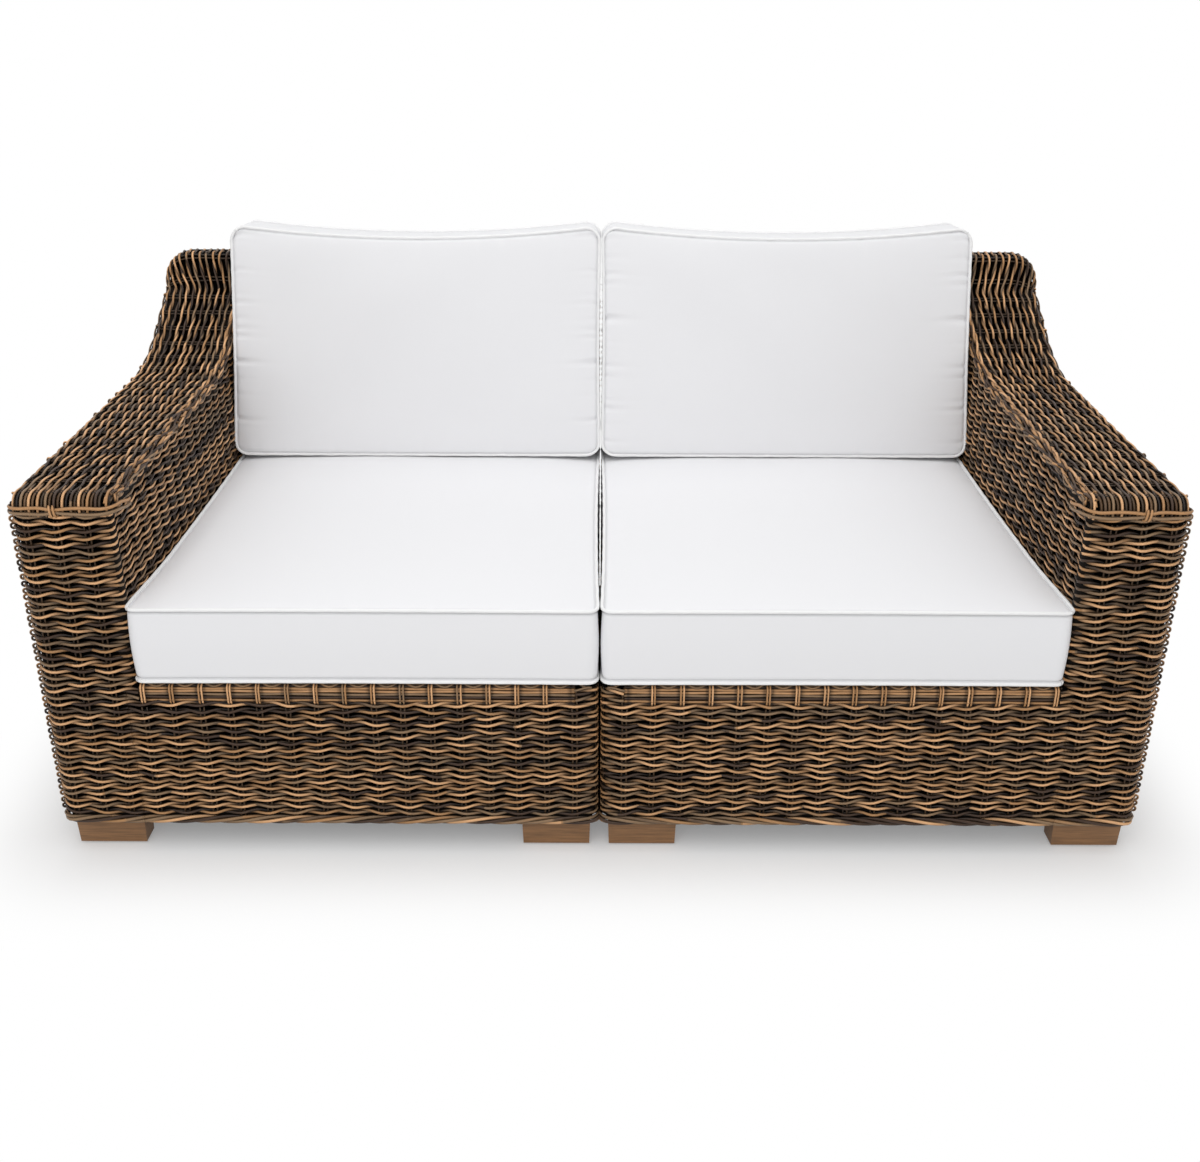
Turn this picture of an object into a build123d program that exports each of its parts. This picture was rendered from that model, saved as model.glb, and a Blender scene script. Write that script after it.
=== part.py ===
from build123d import *
import math
import os

# Two-module wicker loveseat. +X is the right-hand side seen from the front, the front
# faces -Y, +Z is up, and the origin is the middle of the footprint on the floor.
# The left module is modelled; the right one is its mirror image.

# Overall sizes
overall_width = 1850
overall_depth = 980
back_height = 860
module_gap = 2

# Woven box
weave = 5
corner_radius = 22
hem_height = 60
arm_width = 162
arm_height = 657
arm_slope = 1.5
arm_lip_radius = 20
wing_reach = 370
wing_radius = 400
wing_slope = 31
back_lean = 9.5
back_top_depth = 51
back_corner_radius = 50

# Aluminium frame
tube = 25
tube_wall = 1.5
hoop_leg = 20
cross_bars = 4
cross_bar_first = 60
seat_height = 330
slat_width = 40
slat_thickness = 10
slat_count = 7
slat_end_gap = 30

# Feet
foot_width = 120
foot_depth = 45
foot_outer_inset = 11
foot_seam_inset = 14
foot_face_inset = 17
foot_taper = 2
glide_radius = 12.5
glide_thickness = 4
glide_spacing = 60
plate_thickness = 4
plate_underside = 66
plate_inset = 10
screw_radius = 2.5
screw_length = 35
screw_head_radius = 5
screw_head_height = 3
screw_spacing = 70
screw_play = 0.1

# Connectors under the seam
connector_length = 40
connector_places = (-250, 250)
connector_plate = 3
connector_reach = 60
blade_thickness = 3
blade_underside = 54
blade_tip = 8
lip_thickness = 2
lip_reach = 8
lip_play = 0.3
connector_leg_inset = 12
connector_screw_radius = 2
connector_screw_depth = 4
connector_screw_spacing = 24
connector_screw_head = 2
connector_head_radius = 3

# Wrapped seat rail
wrap_thickness = 5

# Cushions
play = 0.3
cover_thickness = 2
piping_radius = 3
cushion_corner = 28
side_bow = 1.2
seat_boxing = 128
seat_underfall = 5
seat_crown = 15.5
back_boxing = 100
back_crown = 14
back_cushion_clearance = 7.4
back_cushion_height = 447
back_bottom_rise = 12
back_top_bow = 3.4
seat_front_bow = 0.6
crown_inset_shares = (0, 0.025, 0.07, 0.145, 0.25)
crown_rise_shares = (0, 0.4, 0.68, 0.88, 1)

# Zips
zip_margin = 75
tape_width = 24
tape_thickness = 0.8
teeth_width = 5
teeth_height = 1.4
slider_length = 14
slider_width = 9
slider_height = 3
slider_play = 0.2
pull_length = 20
pull_width = 6
pull_thickness = 1

# One overrun for every cut
overrun = 10

# Places worked out from the sizes
x_outer = -overall_width / 2
x_seam = -module_gap / 2
x_arm = x_outer + arm_width
y_front = -overall_depth / 2
y_back = overall_depth / 2
y_wing = y_back - wing_reach
module_width = x_seam - x_outer
x_middle = (x_outer + x_seam) / 2
tube_bore = tube - 2 * tube_wall
post_radius = corner_radius - weave
post_xs = (x_outer + corner_radius, x_arm - corner_radius, x_seam - corner_radius)
post_ys = (y_front + corner_radius, y_back - corner_radius)
cross_bar_pitch = (y_wing - y_front - 2 * cross_bar_first) / (cross_bars - 1)
base_low = plate_underside + plate_thickness
seat_rail_low = seat_height - slat_thickness - tube
seat_rail_top = seat_rail_low + tube
lean = math.tan(math.radians(back_lean))
lean_cosine = math.cos(math.radians(back_lean))
y_back_frame = y_back - weave - 2 * post_radius
weave_across = weave / lean_cosine
tube_across = tube / lean_cosine
frame_front = y_front + weave + tube / 2
frame_rear = y_back - weave - tube / 2
seam_rail_x = x_seam - weave - tube / 2
arm_seat_rail_x = x_arm - weave + tube / 2


def face_y(height):
    """The leaning front face of the back, at a height."""
    return y_back - back_top_depth - (back_height - height) * lean


def save(piece, name):
    piece.label = name
    export_step(piece, f"parts/{name}.step")


def save_pair(piece, name):
    """The left module's piece and its mirror image in the right module."""
    save(piece, f"left_{name}")
    save(mirror(piece, about=Plane.YZ), f"right_{name}")


def group(pieces):
    return Compound(children=pieces)


# Arm profile, seen from the side


def arm_points(inset):
    """Corners of the arm's top line, lowered square to itself by an inset."""
    first, second = math.radians(arm_slope), math.radians(wing_slope)
    lip = (y_front + arm_lip_radius, arm_height - arm_lip_radius)
    start = (
        lip[0] - (arm_lip_radius - inset) * math.sin(first),
        lip[1] + (arm_lip_radius - inset) * math.cos(first),
    )
    outer_y = lip[0] - arm_lip_radius * math.sin(first)
    outer_z = lip[1] + arm_lip_radius * math.cos(first)
    bend_y = y_wing
    bend_z = outer_z + (bend_y - outer_y) * math.tan(first)
    centre = (bend_y - wing_radius * math.sin(first), bend_z + wing_radius * math.cos(first))
    radius = wing_radius + inset
    bend = (centre[0] + radius * math.sin(first), centre[1] - radius * math.cos(first))
    rise = (centre[0] + radius * math.sin(second), centre[1] - radius * math.cos(second))
    top = (y_back, rise[1] + (y_back - rise[0]) * math.tan(second))
    return lip, start, centre, radius, bend, rise, top


def arm_line(inset):
    """Lip, level top, bend and wing as one line, drawn in the side view. Deeper than
    the lip's radius, the level line runs straight on to the front instead."""
    lip, start, centre, radius, bend, rise, top = arm_points(inset)
    if inset < arm_lip_radius:
        CenterArc(lip, arm_lip_radius - inset, 180, arm_slope - 90)
        foot = (y_front + inset, lip[1])
    else:
        foot = (y_front, start[1] - (start[0] - y_front) * math.tan(math.radians(arm_slope)))
        start = foot
    Line(start, bend)
    CenterArc(centre, radius, 270 + arm_slope, wing_slope - arm_slope)
    Line(rise, top)
    return foot, top


def arm_side(inset, low, y_low, y_high, x_low, thickness):
    """Everything under the arm line between two fronts and above a height, as a slab."""
    with BuildPart() as slab:
        with BuildSketch(Plane.YZ.offset(x_low)):
            with BuildLine():
                start, top = arm_line(inset)
                Polyline(top, (top[0], low), (start[0], low), start)
            make_face()
        extrude(amount=thickness)
        with BuildSketch(Plane.YZ.offset(x_low)):
            with Locations(((y_low + y_high) / 2, (low + back_height) / 2)):
                Rectangle(y_high - y_low, back_height - low)
        extrude(amount=thickness, mode=Mode.INTERSECT)
    return slab.part


def behind_face(shift, low, high, y_end, x_low, thickness):
    """A slab behind the back's leaning face, from a height to another."""
    with BuildPart() as slab:
        with BuildSketch(Plane.YZ.offset(x_low)):
            with BuildLine():
                Polyline(
                    (face_y(low) + shift, low),
                    (face_y(high) + shift, high),
                    (y_end, high),
                    (y_end, low),
                    close=True,
                )
            make_face()
        extrude(amount=thickness)
    return slab.part


def back_outline(inset, low):
    """The back seen from the front, with its rounded outer top corner."""
    radius = back_corner_radius - inset
    with BuildSketch(Plane.XZ) as outline:
        with BuildLine():
            Line((x_seam, back_height - inset), (x_outer + back_corner_radius, back_height - inset))
            CenterArc((x_outer + back_corner_radius, back_height - back_corner_radius), radius, 90, 90)
            Polyline(
                (x_outer + inset, back_height - back_corner_radius),
                (x_outer + inset, low),
                (x_seam, low),
                (x_seam, back_height - inset),
            )
        make_face()
    return outline.sketch


# Frame tubes


def cut_posts(height):
    """Copes the ends of a rail to the round posts."""
    with Locations(*[(x, y, height) for x in post_xs for y in post_ys]):
        Cylinder(post_radius, 2 * tube, mode=Mode.SUBTRACT)


def rail_along_x(x_low, x_high, y_mid, z_low):
    with BuildPart() as rail:
        with BuildSketch(Plane.YZ.offset(x_low)):
            with Locations((y_mid, z_low + tube / 2)):
                Rectangle(tube, tube)
                Rectangle(tube_bore, tube_bore, mode=Mode.SUBTRACT)
        extrude(amount=x_high - x_low)
        cut_posts(z_low + tube / 2)
    return rail.part


def rail_along_y(x_mid, y_low, y_high, z_low):
    with BuildPart() as rail:
        with BuildSketch(Plane.XZ.offset(-y_high)):
            with Locations((x_mid, z_low + tube / 2)):
                Rectangle(tube, tube)
                Rectangle(tube_bore, tube_bore, mode=Mode.SUBTRACT)
        extrude(amount=y_high - y_low)
        cut_posts(z_low + tube / 2)
    return rail.part


def post(x, y, z_low, z_high):
    with BuildPart() as upright:
        with BuildSketch(Plane.XY.offset(z_low)):
            with Locations((x, y)):
                Circle(post_radius)
                Circle(post_radius - tube_wall, mode=Mode.SUBTRACT)
        extrude(amount=z_high - z_low)
    return upright.part


def bent_rail(x_low):
    """An arm rail that follows the arm's line under the weave, ends open."""
    y_low, y_high = post_ys[0], y_back_frame
    x_wall = x_low + tube_wall
    low = arm_height - arm_lip_radius - tube
    with BuildPart() as rail:
        add(arm_side(weave, low, y_low, y_high, x_low, tube))
        add(
            arm_side(weave + tube, hem_height, y_front, y_back, x_low, tube),
            mode=Mode.SUBTRACT,
        )
    with BuildPart() as bore:
        add(arm_side(weave + tube_wall, low, y_low, y_high, x_wall, tube_bore))
        add(
            arm_side(weave + tube - tube_wall, hem_height, y_front, y_back, x_wall, tube_bore),
            mode=Mode.SUBTRACT,
        )
    with BuildPart() as hollow:
        add(rail.part)
        add(bore.part, mode=Mode.SUBTRACT)
    return hollow.part


def arm_rail_under(y):
    """The underside of the arm rails at a place on their level stretch."""
    _, start, _, _, _, _, _ = arm_points(weave + tube)
    return start[1] + (y - start[0]) * math.tan(math.radians(arm_slope))


def make_base_frame():
    pieces = []
    for y in (frame_front, frame_rear):
        for x_low, x_high in zip(post_xs, post_xs[1:]):
            pieces.append(rail_along_x(x_low, x_high, y, base_low))
    for x in (x_outer + weave + tube / 2, x_arm - weave - tube / 2):
        pieces.append(rail_along_y(x, post_ys[0], post_ys[1], base_low))
    with BuildPart() as seam_rail:
        add(rail_along_y(seam_rail_x, post_ys[0], post_ys[1], base_low))
        with BuildSketch(Plane.XY.offset(base_low)):
            with Locations(*connector_screw_places(-1)):
                Circle(connector_screw_radius + screw_play)
        extrude(amount=tube_wall, mode=Mode.SUBTRACT)
    pieces.append(seam_rail.part)
    for x, y, side in foot_places():
        plate_depth = foot_face_inset + foot_depth - plate_inset
        y_mid = y + side * (foot_face_inset - plate_inset) / 2
        with BuildPart() as plate:
            with BuildSketch(Plane.XY.offset(plate_underside)):
                with Locations((x, y_mid)):
                    Rectangle(foot_width, plate_depth)
                with Locations((x, y)):
                    with GridLocations(screw_spacing, 0, 2, 1):
                        Circle(screw_radius + screw_play, mode=Mode.SUBTRACT)
            extrude(amount=plate_thickness)
        pieces.append(plate.part)
    return group(pieces)


def make_seat_frame():
    side_low = frame_front + tube / 2
    side_high = frame_rear - tube / 2
    lean_rail_y = face_y(seat_rail_top) + tube / 2
    pieces = [
        rail_along_x(post_xs[1], post_xs[2], frame_front, seat_rail_low),
        rail_along_x(post_xs[1], post_xs[2], frame_rear, seat_rail_low),
        rail_along_y(arm_seat_rail_x, side_low, side_high, seat_rail_low),
        rail_along_y(seam_rail_x, post_ys[0], post_ys[1], seat_rail_low),
        rail_along_x(
            arm_seat_rail_x + tube / 2, seam_rail_x - tube / 2, lean_rail_y, seat_rail_low
        ),
        post(post_xs[2], post_ys[0], base_low, seat_rail_top),
    ]
    return group(pieces)


def make_arm_frame():
    outer_x = x_outer + weave
    inner_x = x_arm - weave - tube
    pieces = [bent_rail(outer_x), bent_rail(inner_x)]
    post_top = arm_rail_under(post_ys[0])
    for x in post_xs[:2]:
        pieces.append(post(x, post_ys[0], base_low, post_top))
    for number in range(cross_bars):
        y = y_front + cross_bar_first + number * cross_bar_pitch
        low = arm_rail_under(y - tube / 2)
        pieces.append(rail_along_x(outer_x + tube, inner_x, y, low))
    return group(pieces)


def hoop_bar(wall, hoop_low):
    """The bent top bar of the back, or its bore when set in by a wall."""
    with BuildPart() as bar:
        extrude(back_outline(weave + wall, hoop_low), amount=-y_back)
        extrude(
            back_outline(weave + tube - wall, hoop_low - overrun),
            amount=-y_back,
            mode=Mode.SUBTRACT,
        )
        with BuildSketch(Plane.XY.offset(hoop_low)):
            with Locations((x_middle, 0)):
                RectangleRounded(
                    module_width - 2 * (weave + wall),
                    overall_depth - 2 * (weave + wall),
                    post_radius - wall,
                )
            with Locations((x_middle, y_back - weave - post_radius)):
                Rectangle(module_width, 2 * (post_radius - wall), mode=Mode.INTERSECT)
        extrude(amount=back_height - hoop_low, mode=Mode.INTERSECT)
    return bar.part


def make_back_frame():
    hoop_low = back_height - back_corner_radius - hoop_leg
    hoop_under = back_height - weave - tube
    with BuildPart() as hoop:
        add(hoop_bar(0, hoop_low))
        add(hoop_bar(tube_wall, hoop_low), mode=Mode.SUBTRACT)
    pieces = [hoop.part]
    for x, top in zip(post_xs, (hoop_low, hoop_under, hoop_under)):
        pieces.append(post(x, post_ys[1], base_low, top))
    seam_stile = x_seam - weave - tube
    middle_stile = (x_arm + seam_stile) / 2
    for x in (x_arm, middle_stile, seam_stile):
        pieces.append(make_stile(x, hoop_under))
    return group(pieces)


def make_stile(x_low, top):
    """A leaning tube from the rear seat rail to the hoop."""
    with BuildPart() as stile:
        with BuildSketch(Plane.YZ.offset(x_low)):
            with BuildLine():
                Polyline(
                    (face_y(seat_rail_top) + weave_across, seat_rail_top),
                    (face_y(top) + weave_across, top),
                    (face_y(top) + weave_across + tube_across, top),
                    (face_y(seat_rail_top) + weave_across + tube_across, seat_rail_top),
                    close=True,
                )
            make_face()
        extrude(amount=tube)
        wall_across = tube_wall / lean_cosine
        bore_front = weave_across + wall_across
        bore_rear = weave_across + tube_across - wall_across
        with BuildSketch(Plane.YZ.offset(x_low + tube_wall)):
            with BuildLine():
                Polyline(
                    (face_y(seat_rail_top) + bore_front, seat_rail_top),
                    (face_y(top) + bore_front, top),
                    (face_y(top) + bore_rear, top),
                    (face_y(seat_rail_top) + bore_rear, seat_rail_top),
                    close=True,
                )
            make_face()
        extrude(amount=tube_bore, mode=Mode.SUBTRACT)
    return stile.part


def make_slats():
    """Flat oval-edged bars across the seat frame, at an even pitch."""
    x_low, x_high = x_arm, x_seam - weave
    y_low = frame_front + tube / 2 + slat_end_gap + slat_width / 2
    y_high = face_y(seat_height) - slat_end_gap - slat_width / 2
    pitch = (y_high - y_low) / (slat_count - 1)
    with BuildPart() as slats:
        for number in range(slat_count):
            with BuildSketch(Plane.YZ.offset(x_low)):
                with Locations((y_low + number * pitch, seat_rail_top + slat_thickness / 2)):
                    Rectangle(slat_width, slat_thickness)
                    Rectangle(
                        slat_width - 2 * tube_wall,
                        slat_thickness - 2 * tube_wall,
                        mode=Mode.SUBTRACT,
                    )
            extrude(amount=x_high - x_low)
    return slats.part


# Woven panels


def plan_ring(x_low, x_high, z_low, z_high):
    """An upright woven loop with rounded corners, cut into panels afterwards."""
    with BuildPart() as loop:
        with BuildSketch(Plane.XY.offset(z_low)):
            with Locations(((x_low + x_high) / 2, 0)):
                RectangleRounded(x_high - x_low, overall_depth, corner_radius)
                RectangleRounded(
                    x_high - x_low - 2 * weave,
                    overall_depth - 2 * weave,
                    corner_radius - weave,
                    mode=Mode.SUBTRACT,
                )
        extrude(amount=z_high - z_low)
    return loop.part


def keep_box(x_low, x_high, y_low, y_high, z_low, z_high):
    with BuildSketch(Plane.XY.offset(z_low)) as plan:
        with Locations(((x_low + x_high) / 2, (y_low + y_high) / 2)):
            Rectangle(x_high - x_low, y_high - y_low)
    extrude(plan.sketch, amount=z_high - z_low, mode=Mode.INTERSECT)


def make_arm_front():
    """The arm's front face, round both of its upright corners above the seat."""
    top = arm_height - arm_lip_radius
    y_return = y_front + corner_radius
    with BuildPart() as upper:
        add(plan_ring(x_outer, x_arm, seat_rail_top, top))
        keep_box(x_outer, x_arm, y_front, y_return, seat_rail_top, top)
    with BuildPart() as panel:
        add(plan_ring(x_outer, x_seam, hem_height, seat_rail_top))
        keep_box(x_outer, x_arm, y_front, y_return, hem_height, seat_rail_top)
        add(upper.part)
    return panel.part


def make_apron():
    """The front below the seat, and its corner up to the seat at the seam."""
    y_return = y_front + corner_radius
    with BuildPart() as corner:
        add(plan_ring(x_outer, x_seam, seat_rail_low - wrap_thickness, seat_rail_top))
        x_low = x_seam - 2 * corner_radius + weave
        keep_box(x_low, x_seam, y_front, y_return, seat_rail_low - wrap_thickness, seat_rail_top)
    with BuildPart() as panel:
        add(plan_ring(x_outer, x_seam, hem_height, seat_rail_low - wrap_thickness))
        keep_box(x_arm, x_seam, y_front, y_return, hem_height, seat_rail_low - wrap_thickness)
        add(corner.part)
    return panel.part


def make_outer_side():
    y_low, y_high = y_front + corner_radius, y_back - corner_radius
    side_top = back_height - back_corner_radius
    with BuildPart() as panel:
        add(arm_side(weave, hem_height, y_low, y_high, x_outer, weave))
        add(behind_face(0, seat_height, side_top, y_high, x_outer, weave))
        keep_box(x_outer, x_outer + weave, y_low, y_high, hem_height, side_top)
    return panel.part


def make_inner_side():
    """Along the seam: low beside the seat, and up the end of the back."""
    y_low, y_high = y_front + corner_radius, y_back - corner_radius
    x_low = x_seam - weave
    with BuildPart() as panel:
        with BuildSketch(Plane.YZ.offset(x_low)):
            with BuildLine():
                Polyline(
                    (y_low, hem_height),
                    (y_low, seat_height),
                    (face_y(seat_height), seat_height),
                    (face_y(back_height - weave), back_height - weave),
                    (y_high, back_height - weave),
                    (y_high, hem_height),
                    close=True,
                )
            make_face()
        extrude(amount=weave)
    return panel.part


def make_arm_inner():
    """The arm's face towards the sitter, down to the seat frame."""
    x_low = x_arm - weave
    with BuildPart() as panel:
        add(arm_side(weave, seat_rail_top, y_front + corner_radius, y_back, x_low, weave))
        add(
            behind_face(0, seat_rail_top, back_height, y_back + overrun, x_low, weave),
            mode=Mode.SUBTRACT,
        )
    return panel.part


def make_arm_top():
    """The woven cap of the arm, from its front lip up the wing to the back."""
    with BuildPart() as cap:
        add(arm_side(0, hem_height, y_front, y_back, x_outer, arm_width))
        add(
            arm_side(weave, hem_height, y_front, y_back, x_outer, arm_width),
            mode=Mode.SUBTRACT,
        )
        keep_box(x_outer, x_arm, y_front, y_back, arm_height - arm_lip_radius, back_height)
        add(
            behind_face(0, hem_height, back_height, y_back + overrun, x_outer, arm_width),
            mode=Mode.SUBTRACT,
        )
    return cap.part


def make_back_inner():
    """The leaning face of the back, with an ear above the wing."""
    top = back_height - weave
    x_high = x_seam - weave
    with BuildPart() as ear:
        add(behind_face(0, arm_height, top, y_back, x_outer + weave, arm_width - weave))
        add(
            behind_face(weave_across, hem_height, back_height, y_back, x_outer, arm_width),
            mode=Mode.SUBTRACT,
        )
        add(arm_side(0, hem_height, y_front, y_back, x_outer, arm_width), mode=Mode.SUBTRACT)
    with BuildPart() as panel:
        add(behind_face(0, seat_rail_top, top, y_back, x_arm, x_high - x_arm))
        add(
            behind_face(weave_across, hem_height, back_height, y_back, x_arm, x_high - x_arm),
            mode=Mode.SUBTRACT,
        )
        add(ear.part)
        extrude(back_outline(weave, hem_height), amount=-y_back, mode=Mode.INTERSECT)
    return panel.part


def make_back_outer():
    top = back_height - weave
    with BuildPart() as panel:
        add(plan_ring(x_outer, x_seam, hem_height, top))
        keep_box(x_outer, x_seam, y_back - corner_radius, y_back, hem_height, top)
        extrude(back_outline(weave, seat_height), amount=-y_back, mode=Mode.INTERSECT)
    with BuildPart() as lower:
        side_top = back_height - back_corner_radius
        add(plan_ring(x_outer, x_seam, hem_height, side_top))
        keep_box(x_outer, x_seam, y_back - corner_radius, y_back, hem_height, side_top)
        add(panel.part)
    return lower.part


def make_back_top():
    """The woven cap of the back, round its outer corner."""
    low = back_height - back_corner_radius
    with BuildPart() as cap:
        extrude(back_outline(0, seat_height), amount=-y_back)
        extrude(back_outline(weave, seat_height), amount=-y_back, mode=Mode.SUBTRACT)
        add(
            behind_face(0, low, back_height, y_back, x_outer, module_width),
            mode=Mode.INTERSECT,
        )
    return cap.part


def make_rail_wrap():
    """Strands wound round the front seat rail, between its two posts."""
    x_low = post_xs[1] + post_radius + weave
    x_high = post_xs[2] - post_radius
    with BuildPart() as wrap:
        with BuildSketch(Plane.YZ.offset(x_low)):
            with Locations((frame_front, seat_rail_low + tube / 2)):
                RectangleRounded(
                    tube + 2 * wrap_thickness, tube + 2 * wrap_thickness, wrap_thickness
                )
                Rectangle(tube, tube, mode=Mode.SUBTRACT)
        extrude(amount=x_high - x_low)
        side_rail_y = frame_front + (tube + wrap_thickness) / 2
        with Locations((arm_seat_rail_x, side_rail_y, seat_rail_low + tube / 2)):
            Box(tube, wrap_thickness, tube, mode=Mode.SUBTRACT)
    return wrap.part


# Feet


def foot_places():
    """Middle of each foot, and the side that its face looks to along Y."""
    xs = (
        x_outer + foot_outer_inset + foot_width / 2,
        x_seam - foot_seam_inset - foot_width / 2,
    )
    y_mid = overall_depth / 2 - foot_face_inset - foot_depth / 2
    return [(x, side * y_mid, side) for x in xs for side in (-1, 1)]


def make_feet():
    with BuildPart() as feet:
        for x, y, _ in foot_places():
            with BuildSketch(Plane.XY.offset(plate_underside)) as top:
                with Locations((x, y)):
                    Rectangle(foot_width, foot_depth)
            extrude(top.sketch, amount=-(plate_underside - glide_thickness), taper=foot_taper)
            with BuildSketch(Plane.XY.offset(plate_underside)) as holes:
                with Locations((x, y)):
                    with GridLocations(screw_spacing, 0, 2, 1):
                        Circle(screw_radius + screw_play)
            extrude(holes.sketch, amount=-(screw_length - plate_thickness), mode=Mode.SUBTRACT)
    return feet.part


def make_foot_screws():
    with BuildPart() as screws:
        for x, y, _ in foot_places():
            with BuildSketch(Plane.XY.offset(base_low)) as shanks:
                with Locations((x, y)):
                    with GridLocations(screw_spacing, 0, 2, 1):
                        Circle(screw_radius)
            extrude(shanks.sketch, amount=-screw_length)
            with BuildSketch(Plane.XY.offset(base_low)) as heads:
                with Locations((x, y)):
                    with GridLocations(screw_spacing, 0, 2, 1):
                        Circle(screw_head_radius)
            extrude(heads.sketch, amount=screw_head_height)
    return screws.part


def make_glides():
    with BuildPart() as glides:
        for x, y, _ in foot_places():
            with BuildSketch(Plane.XY) as pads:
                with Locations((x, y)):
                    with GridLocations(glide_spacing, 0, 2, 1):
                        Circle(glide_radius)
            extrude(pads.sketch, amount=glide_thickness)
    return glides.part


# Connectors


def connector_screw_places(side):
    """Screw axes under a module's seam rail: -1 for the left module, 1 for the right."""
    x = -side * seam_rail_x
    half = connector_screw_spacing / 2
    return [(x, place + shift) for place in connector_places for shift in (-half, half)]


def bracket(side, outline):
    """One bracket profile in the XZ plane, extruded at each place along the seam."""
    with BuildPart() as brackets:
        for place in connector_places:
            with BuildSketch(Plane.XZ.offset(-place - connector_length / 2)) as profile:
                with BuildLine():
                    Polyline(*outline, close=True)
                make_face()
            extrude(profile.sketch, amount=connector_length)
        with BuildSketch(Plane.XY.offset(base_low - connector_plate)) as holes:
            with Locations(*connector_screw_places(side)):
                Circle(connector_screw_radius + screw_play)
        extrude(holes.sketch, amount=connector_plate, mode=Mode.SUBTRACT)
    return brackets.part


def make_jaws():
    """Spring clips under the left module: two lips that grip the right one's blade."""
    plate_low = base_low - connector_plate
    leg_out = -connector_leg_inset
    leg_in = leg_out - lip_thickness
    blade_top = blade_underside + blade_thickness
    upper_low = blade_top + lip_play
    upper_high = upper_low + lip_thickness
    lower_high = blade_underside - lip_play
    lower_low = lower_high - lip_thickness
    outline = (
        (-connector_reach, base_low),
        (leg_out, base_low),
        (leg_out, upper_high),
        (lip_reach, upper_high),
        (lip_reach, upper_low),
        (leg_out, upper_low),
        (leg_out, lower_high),
        (lip_reach, lower_high),
        (lip_reach, lower_low),
        (leg_in, lower_low),
        (leg_in, plate_low),
        (-connector_reach, plate_low),
    )
    return bracket(-1, outline)


def make_blades():
    """Flat brackets under the right module, each with a blade towards the seam."""
    plate_low = base_low - connector_plate
    leg_in = connector_leg_inset
    leg_out = leg_in + connector_plate
    blade_top = blade_underside + blade_thickness
    outline = (
        (connector_reach, base_low),
        (leg_in, base_low),
        (leg_in, blade_top),
        (-blade_tip, blade_top),
        (-blade_tip, blade_underside),
        (leg_out, blade_underside),
        (leg_out, plate_low),
        (connector_reach, plate_low),
    )
    return bracket(1, outline)


def make_connector_screws(side):
    """Pan-head screws, up through each bracket into the seam rail."""
    plate_low = base_low - connector_plate
    with BuildPart() as screws:
        with BuildSketch(Plane.XY.offset(plate_low)) as shanks:
            with Locations(*connector_screw_places(side)):
                Circle(connector_screw_radius)
        extrude(shanks.sketch, amount=connector_plate + connector_screw_depth)
        with BuildSketch(Plane.XY.offset(plate_low)) as heads:
            with Locations(*connector_screw_places(side)):
                Circle(connector_head_radius)
        extrude(heads.sketch, amount=-connector_screw_head)
    return screws.part


# Cushions


def cushion_outline(plane, height, width, length, inset, rise, far_bow):
    """Rounded outline of a cushion at a height above its plane. The near side, towards
    the plane's +Y, is straight and carries the zip. The others are arcs drawn in
    between the corners, which leave each corner at the bow's angle."""
    straight = width / 2 - inset - cushion_corner
    near = length / 2 - inset - rise
    side, far = math.radians(side_bow), math.radians(far_bow)
    side_chord = length - 2 * inset - rise - 2 * cushion_corner * (1 + math.sin(side))
    side_radius = side_chord / 2 / math.sin(side)
    far_radius = straight / math.sin(far) - cushion_corner
    turns = (
        (cushion_corner, -90 - side_bow),
        (side_radius, 2 * side_bow),
        (cushion_corner, -90 - side_bow - far_bow),
        (far_radius, 2 * far_bow),
        (cushion_corner, -90 - side_bow - far_bow),
        (side_radius, 2 * side_bow),
        (cushion_corner, -90 - side_bow),
    )
    with BuildSketch(plane.offset(height)) as outline:
        with BuildLine():
            run = Line((-straight, near), (straight, near))
            for radius, turn in turns:
                run = JernArc(run @ 1, run % 1, radius, turn)
        make_face()
    return outline.sketch


def cushion_levels(width, boxing, low_crown, high_crown, rise, shrink):
    """Heights, insets and rises of the outlines from the lower face to the upper one."""
    levels = []
    for inset_share, rise_share in zip(reversed(crown_inset_shares), reversed(crown_rise_shares)):
        height = low_crown * (1 - rise_share) + shrink
        levels.append((height, inset_share * width + shrink, 0))
    for inset_share, rise_share in zip(crown_inset_shares, crown_rise_shares):
        height = low_crown + boxing + high_crown * rise_share - shrink
        levels.append((height, inset_share * width + shrink, rise))
    return levels


def cushion_solid(plane, width, length, boxing, crowns, rise, far_bow, shrink):
    with BuildPart() as solid:
        faces = [
            cushion_outline(plane, height, width, length, inset, up, far_bow)
            for height, inset, up in cushion_levels(width, boxing, *crowns, rise, shrink)
        ]
        loft(faces, ruled=True)
    return solid.part


def make_piping(plane, width, length, boxing, crowns, rise, far_bow):
    """Two welts, round the boxing's lower and upper edge."""
    pieces = []
    for height, up in ((crowns[0], 0), (crowns[0] + boxing, rise)):
        outline = cushion_outline(plane, height, width, length, 0, up, far_bow)
        path = outline.face().outer_wire()
        with BuildPart() as welt:
            with BuildSketch(Plane(origin=path @ 0, z_dir=path % 0)):
                Circle(piping_radius)
            sweep(path=path)
        pieces.append(welt.part)
    return group(pieces)


def zip_plane(plane, length, boxing, crowns, rise):
    """On the middle of the straight side: X along it, Z out of the cushion."""
    low = plane.from_local_coords((0, length / 2, crowns[0]))
    high = plane.from_local_coords((0, length / 2 - rise, crowns[0] + boxing))
    across = (high - low).normalized()
    outward = across.cross(plane.x_dir)
    if outward.dot(plane.y_dir) < 0:
        outward = -outward
    return Plane(origin=(low + high) / 2, x_dir=plane.x_dir, z_dir=outward)


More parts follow.
